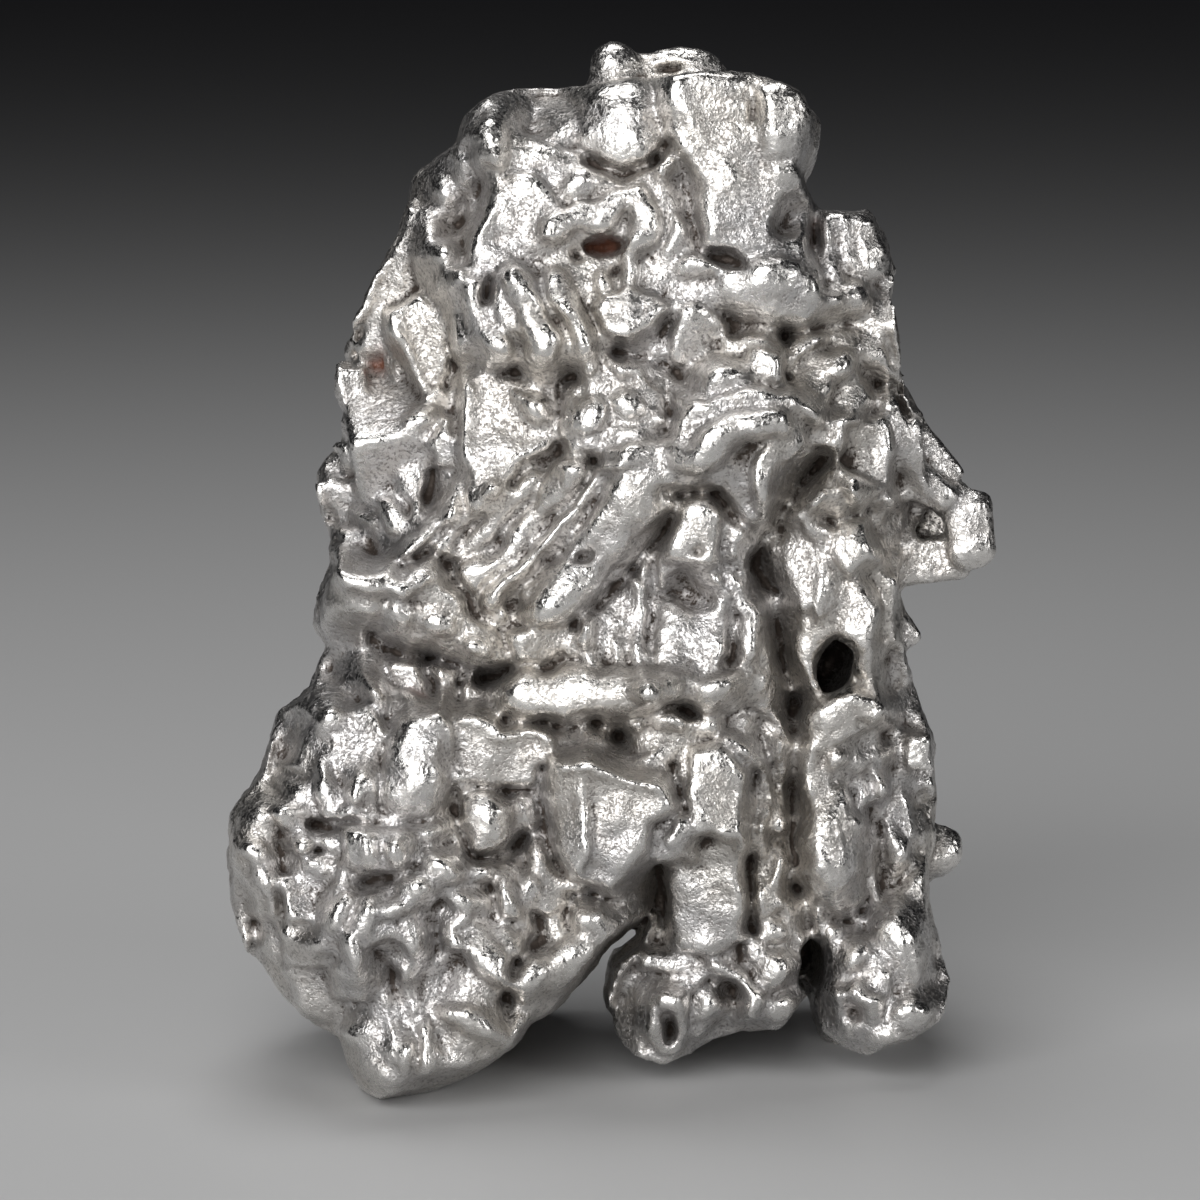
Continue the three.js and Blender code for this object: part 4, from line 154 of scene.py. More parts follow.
# Blocks: height over the surface, lean across, lean up, edge rounding, corners seen from the front
PLATES = [
    # head: broad mass, then its leaning faces
    [0.9,0.02,-0.08,1.2,[[-5.8,38.7],[-4.4,38.6],[-1.2,37.6],[1.4,38.4],[4.2,38.2],[7.2,36.6],[7.6,34],
     [8.3,31.4],[6.2,30.2],[3.6,31.2],[0.6,29.9],[-0.8,29.3],[-1.7,28.7],[-2.8,29.1],[-4.6,29.1],
     [-6,30.3],[-6.5,31.8],[-5.8,33.5],[-5.5,36.5]]],
    [0.5,0.25,0.1,0.5,[[-5,36.2],[-4.6,34.2],[-3.4,33.4],[-2.6,34],[-2.4,35.6],[-3.2,36.6],[-4.4,37]]],
    [0.8,-0.2,-0.3,0.6,[[-4.6,33],[-3.4,32.6],[-2,31.8],[-1,30.4],[-1.4,29],[-3.2,29.4],[-4.6,30.2],
     [-5.2,31.6]]],
    [0.7,-0.12,-0.02,1.4,[[2,40.7],[5,40.9],[7,40.4],[7.9,38.8],[7.7,36.9],[7,35.6],[6.7,34.2],[7.6,33.2],
     [8.4,31.6],[7.4,30.5],[5.4,30.5],[4,31.6],[3.6,33.6],[3,36],[2,38.2]]],
    [1,0.05,-0.35,0.35,[[-0.95,31],[-0.5,31.6],[0.6,31.9],[1.7,31.7],[2.1,31.1],[1.5,30.4],[0.5,30.1],
     [-0.5,30.3]]],
    # middle band: cheek, round block, big right block
    [0.6,0.1,-0.2,0.6,[[-6.4,28.6],[-5,28.9],[-3.2,28.6],[-2.5,27.2],[-2.4,25.6],[-3.6,24.2],[-4.8,23],
     [-5.9,23.4],[-6.2,25.4],[-6.4,27]]],
    [0.4,0.25,0.25,0.4,[[-4.2,28],[-3,28],[-2.5,27],[-3,26.4],[-4,26.6]]],
    [0.7,0.05,-0.1,0.7,[[-2.2,27.6],[-1.4,28.9],[0.6,29.2],[1.8,28.2],[1.9,26.8],[1,25.5],[-0.8,25.3],
     [-2.1,25.9]]],
    [1.5,-0.1,0.42,0.5,[[1.7,25.1],[2.4,26.6],[3.2,27.7],[5,28],[7,27.8],[8.2,27],[8.2,25.7],[7,24.2],
     [5.3,22.4],[4.6,22.9],[3.8,24],[2.2,24.1]]],
    [0.4,-0.55,0.1,0.4,[[6.4,27.6],[8.1,27],[8.1,25.6],[6.8,24],[5.6,23],[5.4,24.4],[6,26]]],
    [0.6,0.2,-0.35,0.35,[[2.8,27.6],[4,28.8],[5.2,28.9],[5,27.9],[3.4,27.2]]],
    [0.5,0.1,-0.2,0.3,[[4.9,29.5],[6.4,29.4],[6.4,28.4],[5,28.3]]],
    [0.5,0.1,0.3,0.3,[[4,30.2],[6.2,30.2],[6.4,29.6],[4.2,29.3]]],
    # right shoulder
    [1,-0.3,-0.05,0.4,[[8.2,35],[9,35.4],[10.2,35.3],[10.8,34.3],[10.9,33],[10.2,32.4],[9.3,32.4],
     [8.8,33.2],[8.3,34.2]]],
    [1.1,-0.15,-0.3,0.5,[[9.2,31.3],[10.4,31.4],[11,30.6],[11,29],[10,28.9],[9.3,29.9]]],
    [0.7,0.35,-0.25,0.4,[[6.9,29.2],[7.8,29.5],[9,29.4],[9.2,28.6],[8.4,27.6],[7.4,28.2]]],
    [0.8,-0.2,-0.35,0.4,[[8.4,28.4],[9.6,28.6],[10.2,27.6],[9.6,26.8],[8.7,27.2]]],
    [0.5,0.2,0.45,0.35,[[7.6,26.9],[9.2,26.7],[10,26],[9.6,25],[8.3,25],[7.6,25.8]]],
    [-1.1,0.3,0.1,0.3,[[9.2,26.4],[10.7,27],[11.2,25.6],[11,24],[9.8,24.2],[8.9,24.8]]],
    # left flank: wavy band, leaning slab, rim slab
    [0.7,0.35,0.05,0.6,[[-8,37],[-6.8,37.8],[-6.1,36.8],[-6,35],[-6.6,33.2],[-7.4,32.6],[-7.9,34.6]]],
    [1.1,0.3,0.12,0.35,[[-9.3,31.5],[-8,32],[-7.1,30.8],[-7,29],[-7.9,27.7],[-8.5,29.2]]],
    [0.8,0.45,0,0.35,[[-10.9,30.6],[-10.3,30.8],[-9.9,29.4],[-9.3,27],[-9.9,26.6],[-10.5,28.2]]],
    [0.6,0.2,-0.35,0.35,[[-8.6,27.3],[-7.4,27.4],[-6.9,26.4],[-7.6,25.7],[-8.8,26]]],
    # small boxes and the finger left of the middle
    [0.7,0.25,-0.3,0.25,[[-9.9,23.7],[-9.1,23.9],[-8.4,23],[-8.7,22.3],[-9.5,22.5]]],
    [0.7,0.3,-0.25,0.25,[[-9,25],[-8.2,25.2],[-7.9,24.2],[-8.4,23.6],[-9,24.1]]],
    [0.7,0.1,-0.35,0.3,[[-11.2,22.3],[-10.2,22.5],[-9.6,21.6],[-10.3,20.8],[-11.1,21.2]]],
    # jaw ledge: bright step over a smooth under-face
    [1.4,0.05,0.4,0.45,[[-11,20.2],[-9.8,20.1],[-9,20.4],[-8.4,20],[-7.2,20.6],[-6.2,19.4],[-4.6,18.2],
     [-4.4,17.2],[-5,16.9],[-6.2,17.5],[-7.6,17.7],[-8.6,18],[-10.6,19.2]]],
    [0.8,-0.1,-0.55,0.3,[[-10.9,20.5],[-9.8,20.4],[-9.1,20.8],[-8.6,20.3],[-7.3,21.2],[-7,20.6],
     [-8.4,19.7],[-9.4,19.9],[-10.6,19.8]]],
    # crystals under the jaw
    [0.8,0.1,0.15,0.25,[[-9,17.2],[-7.9,17.2],[-7.8,16.1],[-8.8,15.8]]],
    [0.8,-0.15,0.2,0.25,[[-7.5,17.1],[-6.4,17],[-6.4,15.9],[-7.4,15.9]]],
    [0.6,-0.25,0.1,0.25,[[-6.1,16.6],[-5.2,16.3],[-5.3,15.4],[-6,15.4]]],
    # lower left: shield over its shadow, plate beside it, crystal block
    [0.7,0.05,0.42,0.55,[[-9.3,13.8],[-8.4,15],[-7.2,15.3],[-6.2,14.4],[-6.3,12.6],[-7,11.5],[-8.2,10.9],
     [-9.2,11.2],[-9.6,12.4]]],
    [0.9,0.25,-0.3,0.45,[[-11.4,15],[-10.2,15.2],[-9.4,14.2],[-9.8,12.8],[-11,12.6],[-11.6,13.8]]],
    [0.7,0.05,0.1,0.25,[[-6.3,15.1],[-5,14.9],[-4.4,14.5],[-3.8,14.7],[-2.6,14.4],[-2.5,13],[-3.3,12.2],
     [-5.4,12.1],[-6.2,13.2]]],
    [2,0.16,0.2,0.35,[[-2.6,13.3],[-1.3,13.5],[1.5,12.1],[1.9,11.2],[1.7,10.2],[0.9,9.4],[-0.3,8.1],
     [-1.5,8.7],[-2.3,10.2],[-2.7,12]]],
    [0.3,0.75,0.1,0.2,[[-2.6,13.3],[-1.6,13.3],[-1.3,11.4],[-1,9.8],[-1.5,8.7],[-2.3,10.2],[-2.7,12]]],
    # teeth under the shelf
    [0.9,0.05,0.2,0.3,[[-10.9,10.6],[-9.6,10.7],[-8.6,10.4],[-8.5,8.9],[-9.6,8.7],[-10.9,8.9]]],
    # left rim of the lobe and its slabs
    [0.9,0.4,0,0.5,[[-15.3,10.9],[-14.4,11.4],[-13.7,10.4],[-13.9,8.6],[-14.4,7],[-14.9,7.6],[-15.3,9.2]]],
    [0.9,-0.25,0.2,0.4,[[-14,11.2],[-12.8,11.6],[-11.9,11.2],[-12,10.6],[-13.2,10.4]]],
    [0.7,-0.3,-0.25,0.4,[[-13.5,8.6],[-12.2,8.8],[-11.3,7.8],[-11.8,6.7],[-13,6.9]]],
    [0.7,0.15,0.45,0.4,[[-13.4,4.6],[-12,5],[-10.9,4.3],[-10.8,2.6],[-11.6,2.3],[-12.8,3.2]]],
    [0.7,0.25,0.1,0.4,[[-14.5,6.6],[-13.6,6.9],[-13,5.4],[-13.4,4.3],[-14.2,5.2]]],
    # left foot: two faces meeting on a seam, with the wing to the right
    [0.9,0.35,-0.05,0.6,[[-10.3,4.6],[-9.2,5.2],[-8.2,4.6],[-7.8,2.6],[-7.8,0.2],[-9.6,0],[-10.5,1.4],
     [-10.6,3.2]]],
    [1.1,-0.25,-0.15,0.6,[[-8.2,5],[-6.6,5.4],[-5,4.6],[-4.4,3.2],[-5,1.6],[-6.6,0.6],[-7.9,0.4],
     [-7.8,2.6]]],
    [1.2,0.05,-0.45,0.45,[[-6.6,6.6],[-5.6,6.7],[-4.5,5.4],[-4.1,4.1],[-5,4.3],[-6.2,5.4]]],
    [1,-0.1,-0.5,0.5,[[-4.2,7.2],[-2,7.9],[0.6,7.6],[0.4,6.8],[-0.9,5.5],[-2.2,3.9],[-3.4,3.2],[-4,4.2],
     [-4,5.6]]],
    # middle pillar: shaft, then the rounded block it ends in
    [1.2,-0.15,-0.05,0.6,[[3,13.6],[4.2,13.8],[5,12.4],[5.1,9.6],[4.4,9],[3,9.4],[2.8,11.6]]],
    [1.7,0.25,0.22,0.55,[[2.5,9.9],[3.8,10.3],[4.9,9.9],[5.2,7.4],[5,5.6],[3.9,5.1],[2.6,5.3],[2.1,6.6],
     [2.1,8]]],
    [0.9,0.1,-0.5,0.3,[[1.2,10.6],[2.6,11.2],[3,10.2],[2.8,9.4],[1.6,9.2]]],
    [0.9,0,-0.3,0.3,[[0.8,5.1],[2,5.3],[3.7,4.9],[3.4,4.3],[2.2,4.3],[0.9,4.5]]],
    # right column: shield, upright faces, foot
    [1.3,0.15,0.1,0.7,[[7.2,11.4],[8,12.3],[9.2,12],[9.9,10.4],[9.9,8.6],[9,7.7],[8,8],[7.4,9.4]]],
    [0.9,-0.25,0.1,0.6,[[10.6,14.6],[11.6,14.4],[12.3,12.2],[12.3,8.6],[11.4,7],[10.8,9],[10.9,12]]],
    [1.2,0.1,-0.3,0.5,[[10.6,6],[11.7,6.4],[12.5,5.4],[12.4,4],[11.4,3.6],[10.6,4.4]]],
    # star of struts round the cave
    [1,0,0.35,0.3,[[7.9,15.2],[9.2,15.9],[10.4,15.6],[10.5,14.9],[9.6,14],[8.6,13.2],[8.4,14.2]]],
    [0.9,0.1,-0.1,0.3,[[8.9,20.4],[9.8,20.6],[10.4,19],[10.2,17.5],[9.2,17.8],[9,19.2]]],
    [0.9,-0.35,0.15,0.3,[[10.7,20.2],[11.3,20],[12,18],[11.2,17.7],[10.6,18.8]]],
    [0.8,0.1,-0.2,0.5,[[6.6,22.6],[7.6,22.9],[8.2,21.6],[7.9,19.8],[7.2,19],[6.7,20.6]]],
    [0.9,-0.1,-0.15,0.5,[[8.7,22.9],[9.9,22.8],[10.3,21.4],[9.4,20.6],[8.6,21.4]]],
    [0.7,0.3,0.1,0.5,[[7,18.8],[8.2,18.9],[8.9,17.8],[8.4,15.9],[7.4,15.7],[6.9,17.2]]],
    # centre column: arched head, face under the recess
    [1,0.05,0.05,0.5,[[2,22.6],[2.4,23.7],[3.4,23.9],[4.1,23],[4.2,21.2],[3.2,20.9],[2,21.1]]],
    [0.9,0.05,-0.3,0.35,[[1.8,19.2],[4.1,19.3],[4.3,17.6],[3.2,16.7],[1.7,17.2]]],
    [0.9,-0.3,0.05,0.4,[[4.3,21.2],[5,21.3],[5.8,19.6],[6,17.4],[5.2,16.8],[4.5,17.8]]],
    [0.7,0.15,0.25,0.35,[[-0.5,20.7],[0.4,20.9],[1.2,20],[1.2,18.4],[0.2,18.2],[-0.5,18.8]]],
    [1,-0.15,0.3,0.5,[[-4.3,18.2],[-3.2,18.7],[-1.8,18.4],[-1.7,17.2],[-3,16.8],[-4.2,17]]],
]

# Bars: height over the surface, half width, run
BARS = [
    # the broad crossing bar and the lamellae beside it
    [1.6,1,[[1.5,24.6],[0.3,23.4],[-0.9,21.6],[-2.4,19.4]]],
    [1,0.34,[[0.5,25.4],[-1,23.7],[-2.2,22.3],[-3.6,20.9],[-5,19.8]]],
    [0.8,0.55,[[-1.7,24.9],[-3.1,23.1],[-4.4,21.7],[-5.8,20.6]]],
    [0.55,0.5,[[-3.2,24.3],[-4.6,22.9],[-6.3,21.6]]],
    [0.7,0.4,[[-4.9,23.9],[-5.9,22.9],[-6.9,21.9]]],
    [1,0.33,[[-6.8,23.7],[-7.6,22.5],[-8.5,21.3]]],
    # lip, thick at its left end
    [1.7,0.85,[[-3.7,15.6],[-2.4,15.6],[-1,15.8],[0.6,16],[1.6,16]]],
    [1.2,0.6,[[1.4,16.1],[2.8,16.4],[3.8,15.9],[4.8,16.1]]],
    # bright band of the big right block
    [1.2,0.55,[[0.2,25.1],[1.6,25.5],[3,25.4],[4.2,26.2],[5.4,26.7],[6.5,26.7]]],
    [0.9,0.42,[[4.4,20.8],[5.2,19.2],[5.1,17.4]]],
    # left finger of the lobe, ear of the head
    [0.9,0.45,[[-14.3,9.5],[-14,8.4],[-13.5,7.4]]],
    [0.8,0.4,[[-6.3,32.2],[-6.4,31.2],[-5.9,30.2],[-5,29.7]]],
    [0.7,0.36,[[-7,24.4],[-6.5,24],[-6.6,23.2]]],
    # rings at the middle foot and the right foot
    [0.8,0.3,[[3.9,4.6],[4.9,4.3],[5.5,3.6],[5.3,2.7],[4.7,2.2]]],
    [0.8,0.26,[[1.4,3.1],[1.2,2.2],[1.6,1.4],[2.3,1.4],[2.7,2.3],[2.3,3.1],[1.7,3.2]]],
    [0.8,0.26,[[9.3,3.8],[9.2,2.7],[9.7,1.9],[10.4,2.4],[10.4,3.4],[9.9,4]]],
    # curved band under the right shield
    [0.8,0.36,[[7.4,8.4],[8,7.5],[9,7.2],[10,7.8]]],
    [0.8,0.3,[[10.2,17.6],[10.1,16.4],[10.6,15.3]]],
    # ribs beside the pillar
    [0.8,0.26,[[5.4,13],[5.9,11.6],[5.6,10.2],[5.9,8.8]]],
    [0.7,0.24,[[6.5,13.6],[6.6,12],[6.3,10.4]]],
    [0.7,0.26,[[4.4,13.9],[5,13.2],[5.5,12.8]]],
    # fan of fingers at the foot of the head, arch over the eye pit and the ridge down from it
    [0.8,0.55,[[-4.2,32.4],[-3.6,30.9],[-3,29.5]]],
    [0.8,0.5,[[-2.7,32.2],[-2,30.8],[-1.4,29.6]]],
    [0.7,0.5,[[-5.7,31.8],[-5.3,30.6],[-4.8,29.6]]],
    [0.8,0.55,[[-2.6,34.6],[-1.6,35.2],[-0.8,34.9],[-0.2,35.7],[0.6,35.8],[1,34.8],[0.9,34]]],
    [0.5,0.28,[[0.6,34],[0.3,33],[0.6,32.2]]],
    # arcs over the round block
    [0.6,0.26,[[-1.2,28.7],[-0.7,29.3],[0.2,28.6],[1.3,29],[2.2,28.3],[2.8,27.4]]],
]

# Knobs: across, up, half length, half width, turn in degrees, height over the surface
KNOBS = [
    # boulder, wing, the two lumps of the left foot, right shield, the lumps of the right foot
    [-8,12.8,1.35,2,-10,1.1], [-1.7,5.3,2.1,0.95,39,0.8], [-9.2,2.2,1.5,2.3,10,0.7],
    [-5.9,3.4,1.3,2.1,-15,0.7], [8.6,10,1.25,2.2,5,0.8], [11.4,5,1.1,1.6,0,0.6], [10.9,2.3,1.9,1.2,0,0.4],
    [0.3,38.7,1.75,1.85,-60,1.9], [6.6,38.7,1.2,1.6,0,0.6], [-1.9,38.3,1,0.45,12,0.5],
    [3.2,32.8,0.8,0.5,-10,0.6], [-5.1,38,0.8,0.95,0,0.8], [-5.6,39.3,0.65,0.6,0,0.5],
    [-1.6,36.4,0.9,0.6,20,0.4], [1.9,36.9,0.45,0.6,0,0.5], [6.2,32.2,1.4,1.1,10,0.4],
    [-0.6,32,0.4,0.6,0,0.4], [2.2,34,0.4,0.9,-20,0.4], [-6.9,36.6,0.35,0.8,10,0.5],
    [-7.3,35.3,0.5,0.35,20,0.5], [-6.7,34.4,0.5,0.4,-20,0.5], [-7.3,33.6,0.35,0.6,0,0.5],
    [-6.6,33.2,0.5,0.4,0,0.5], [-9.5,32.8,0.35,0.6,-30,0.5], [-8.6,33.5,0.35,0.7,-20,0.5],
    [-11.1,24.8,0.7,0.7,0,0.9], [-10.3,25.4,0.5,0.45,0,0.6], [-11.5,23.2,0.5,0.6,0,0.6],
    [-11.4,18.9,0.7,1.1,0,0.7], [-10.6,19.1,0.5,0.4,0,0.4], [-9.9,24.5,0.55,0.35,40,0.5],
    [-8,26.7,0.6,0.5,0,0.4], [-10.2,19.4,0.6,0.5,10,0.45], [-8.7,19.1,0.75,0.5,-10,0.5],
    [-7.1,18.8,0.7,0.6,-30,0.5], [-5.6,17.9,0.6,0.5,-30,0.45], [-3.3,27.4,0.6,0.55,0,0.4],
    [-1.2,27,0.7,0.8,0,0.4], [0.4,27.4,0.8,0.6,0,0.4], [0.2,26.2,0.9,0.5,0,0.3], [4.3,28.3,0.8,0.6,0,0.5],
    [8.4,31.8,0.5,0.45,0,0.6], [9.3,31.8,0.6,0.45,0,0.5], [7.7,32,0.4,0.6,0,0.3],
    [8.9,35.5,0.5,0.3,0,0.3], [10,35.4,0.5,0.3,0,0.3], [-1.3,18.1,0.32,0.8,0,0.8],
    [-0.9,17,0.4,0.45,0,0.6], [0.12,17.4,0.18,0.8,0,0.5], [1,17.6,0.3,0.6,0,0.4],
    [3.8,16.2,0.8,0.6,0,0.7], [5.4,15.9,0.75,0.6,0,0.7], [6.7,15.7,0.6,0.6,0,0.5],
    [-1,14.3,0.5,0.6,0,0.7], [1.4,14,0.7,0.5,0,0.5], [-2,14.4,0.4,0.4,0,0.4], [2.2,14.7,0.7,0.5,0,0.5],
    [3.6,14.6,0.6,0.6,0,0.5], [5,14.5,0.6,0.5,0,0.4], [-9.7,16.9,0.6,0.5,0,0.7],
    [-10.6,16.4,0.5,0.5,0,0.6], [-11.7,14.6,0.6,0.6,0,0.5], [-9.6,15.6,0.35,0.7,20,0.5],
    [-11.6,11.9,0.45,0.95,0,0.9], [-12.6,11.9,0.6,0.6,0,0.6], [-10.7,11.4,0.6,0.45,0,0.5],
    [-10.2,12.2,0.4,0.5,0,0.4], [-12.6,9.9,0.4,0.45,0,0.5], [-11.7,9.8,0.4,0.45,0,0.6],
    [-12.2,9.1,0.5,0.3,0,0.5], [-8.9,9.5,0.48,0.6,0,0.6], [-10,9.6,0.35,0.7,0,0.4],
    [-10.9,7.2,0.9,0.4,60,0.6], [-9.9,6.7,0.35,0.8,-20,0.6], [-9,7.1,0.7,0.35,30,0.6],
    [-9.4,5.9,0.6,0.35,-30,0.5], [-10.4,5.6,0.35,0.7,10,0.5], [-8.4,6.4,0.3,0.6,0,0.5],
    [-11.6,5.7,0.6,0.4,0,0.4], [-8.2,8,0.6,0.4,10,0.5], [-7.2,8.8,0.7,0.6,0,0.5],
    [-6.6,7.5,0.8,0.4,-20,0.6], [-7.4,10.2,0.5,0.5,0,0.5], [-5.1,10.7,1.05,1.15,0,1.3],
    [-3.5,11,0.55,0.7,0,0.8], [-3.1,9.2,0.5,0.7,0,0.6], [-4.3,7.6,0.4,0.8,10,0.8],
    [-2.7,7.6,0.7,0.5,0,0.5], [-5.6,8.5,0.6,0.4,30,0.5], [-3.4,8.1,0.4,0.5,0,0.5],
    [-5.9,2.9,1.1,0.45,-20,0.5], [-3.5,4.4,0.8,0.9,0,0.5], [-2.6,6.4,0.5,0.9,0,0.5],
    [-1.2,6.6,0.6,0.5,0,0.4], [-9.4,3.4,0.5,0.8,0,0.3], [-8.4,1.2,0.4,0.7,0,0.4], [0.5,3.8,0.4,0.6,0,0.5],
    [6.3,2.9,0.75,0.7,0,0.8], [6.2,4.6,0.65,0.6,0,0.7], [3.4,3,0.7,0.6,0,0.5], [0.9,2.8,0.35,0.7,0,0.5],
    [5.5,5.2,0.5,0.5,0,0.5], [5.8,7.4,0.35,0.7,0,0.6], [6.6,8.2,0.4,0.9,0,0.5], [6.1,6.1,0.6,0.6,0,0.6],
    [7,6.6,0.35,0.8,10,0.5], [2.5,10.2,0.5,0.5,0,0.5], [8.9,13,0.45,0.4,0,0.6], [9.8,12.8,0.7,0.4,20,0.5],
    [7.6,13.4,0.45,0.7,0,0.5], [11.4,9.3,0.4,0.9,10,0.6], [9.6,5.2,0.6,0.5,0,0.5],
    [11.8,2.6,0.9,0.7,0,0.6], [10.8,1.9,0.7,0.5,0,0.4], [12.5,7.4,0.4,0.9,0,0.4], [8.7,6,0.3,0.6,0,0.5],
]

# Ridges: height, radius, run
RIDGES = [
    [0.4,0.3,[[-5,37.4],[-5.15,36],[-5.05,35],[-5.4,34],[-5.5,33.3]]],
    [0.3,0.3,[[-4.6,33.1],[-3.9,31.9],[-3.1,31.3],[-2,30.6]]],
    [0.14,0.25,[[2,38.6],[2.6,37.6],[3.4,36.2],[3.9,34.6]]],
    [0.14,0.25,[[2.9,39],[3.6,37.8],[4.6,36.4],[5,35.2]]],
    [0.2,0.25,[[1.4,36.8],[1.9,35.4],[2.6,34.4]]],
    [0.5,0.3,[[-9.4,33],[-10.2,31.5],[-11,30.2],[-10.9,29.2],[-10.5,28],[-10.3,26.8]]],
    [0.4,0.25,[[-9.1,31.3],[-8.7,30],[-7.9,27.9]]],
    [0.4,0.25,[[-6.5,24.3],[-6.8,23.2],[-7.4,22.4],[-8.3,21.3]]],
    [0.35,0.25,[[-6.4,30.3],[-6.6,29.5],[-6.5,28.6],[-6.1,28.1]]],
    [0.35,0.25,[[-6.2,28],[-6.3,26.5],[-6.3,25.2]]],
    [0.4,0.3,[[6.3,36.7],[7.2,36.2],[7.8,35.3]]],
    [0.4,0.3,[[6.9,29],[8.2,27.6]]],
    [0.4,0.3,[[8.3,25.4],[9.2,26],[10,27]]],
    [1,0.35,[[7.9,23.5],[9.2,23.7],[10.5,23.7],[11.6,23.1]]],
    [0.3,0.25,[[1.1,21.2],[1.4,19.8],[1.1,18.6]]],
    [0.35,0.3,[[-6,18.1],[-5,17.6],[-4.3,17],[-4.2,16.3]]],
    [0.4,0.3,[[-9.9,15.9],[-9.7,14.5],[-9.2,13.5],[-8.4,14.3]]],
    [0.4,0.3,[[-8.6,5],[-8.4,3.9],[-8.1,3.1],[-7.6,2],[-7.3,0.5]]],
    [0.3,0.25,[[-9.3,4.4],[-9,3],[-9.1,1.4]]],
    [0.4,0.25,[[-6.1,15.1],[-5,14.9],[-4.4,14.5],[-3.8,14.7],[-2.3,14.2]]],
    [0.4,0.25,[[-2.5,13.3],[-1.2,13.3],[0.4,12.6],[1.6,12.1]]],
    [0.4,0.25,[[10.4,14.9],[10.9,12.6],[11,10.4]]],
    [0.35,0.25,[[11.9,14.2],[12.2,11.8],[12,9]]],
    [0.3,0.25,[[8.6,34.6],[9,33.2]]],
    [0.3,0.2,[[9.5,35],[9.6,33]]],
    [0.3,0.2,[[10.2,34.8],[10.2,33]]],
]

# Clefts: depth, half width, run
CLEFTS = [
    [1.4,0.4,[[-1,37.4],[0,36.9],[1.2,37.2],[2,38]]],
    [0.8,0.3,[[-6.5,31.6],[-6.1,30.1],[-4.7,28.9],[-3.8,28.8],[-2.7,28.9],[-1.6,28.5]]],
    [1,0.28,[[4.4,30.2],[6,30.1],[8.5,30.7]]],
    [1,0.3,[[-6.2,37.8],[-5.8,36.5],[-5.7,35],[-6.2,33],[-7,31.8],[-6.8,30],[-6.5,28.4],[-6.6,26.4]]],
    [1.2,0.45,[[-9.8,30.6],[-9.5,29],[-9.1,27.2]]],
    [0.8,0.25,[[-2.4,28.4],[-2.4,27.2],[-2.4,26]]],
    [1,0.3,[[-4.2,24.2],[-2.5,25.6],[-1.5,25.2],[0,25.2]]],
    [1.2,0.28,[[6.5,30.2],[6.7,28.8],[7.3,28]]],
    [2,0.36,[[-7.7,25.4],[-7.75,24.3],[-7.6,23.6]]],
    [2.6,0.5,[[-10,18.4],[-8.4,17.5],[-7,17.3],[-6,17],[-4.8,16.6]]],
    [1.6,0.36,[[-4.3,14.8],[-2.5,14.6],[-0.6,14.8]]],
    [1,0.28,[[-0.6,14.8],[1,15.1],[3,15.2]]],
    [0.45,0.3,[[1.7,24],[1.6,22.4],[1.5,20.9],[1.4,18]]],
    [0.45,0.3,[[4.4,23.4],[4.4,21.4],[4.3,19.2],[4.4,17.2]]],
    [1.2,0.28,[[2,24.1],[3.7,23.9],[4.4,23],[5.2,22.2]]],
    [3.2,0.8,[[8.2,25.1],[7.2,24.3],[6,23],[5.4,22.2],[6,20.4],[6.4,18.8],[6.8,17.2],[7.6,15.4]]],
    [1.8,0.55,[[7.6,15.2],[7.2,12.6],[7,10.4],[7.1,8.2],[7.6,6.4]]],
    [1.6,0.35,[[2.3,12.8],[2.2,11.4]]],
    [1.4,0.3,[[2.6,9.2],[1.9,8.6],[1.6,7]]],
    [1.3,0.35,[[-2.9,13],[-2.8,11],[-2.4,9.2],[-1.4,8.2],[-0.2,7.8],[1,8.6]]],
    [1.2,0.28,[[-12.4,10.8],[-10.9,10.9],[-9.8,10.8],[-8.5,10.6],[-7.6,10.5],[-6.8,11.2]]],
    [1.2,0.35,[[-6.3,11.8],[-6.4,10.6],[-6,9.5],[-5,9.2],[-3.8,9.9]]],
    [0.9,0.3,[[-4.2,6.8],[-4,5.4],[-4.2,3.8],[-4.3,2.6]]],
    [1,0.35,[[5.3,12.4],[5.3,10.4],[5.4,8],[5.3,6]]],
    [0.8,0.22,[[-7.65,17],[-7.65,15.9]]],
    [0.8,0.22,[[-6.25,17],[-6.2,15.8]]],
    [0.7,0.26,[[0,24.6],[-1.4,23],[-2.8,21.4],[-4.4,19.9]]],
    [0.45,0.3,[[-2.4,24.6],[-3.8,22.9],[-5.4,21.3]]],
    [0.4,0.25,[[-4,24.1],[-5.2,23],[-6.5,21.9]]],
    [0.9,0.28,[[2,22.9],[0.9,21.2],[-0.4,19.6],[-1.6,18.4]]],
    [0.8,0.3,[[10.4,12.2],[10.3,9.6],[10.4,7.4]]],
    [1.2,0.35,[[7.4,7.6],[8.8,6.6],[10.2,7]]],
    [0.4,0.3,[[3.4,33.6],[2.8,35.2],[2.2,36.6]]],
    [1.6,0.45,[[7.9,35.8],[8.1,34],[8.6,32.2]]],
]

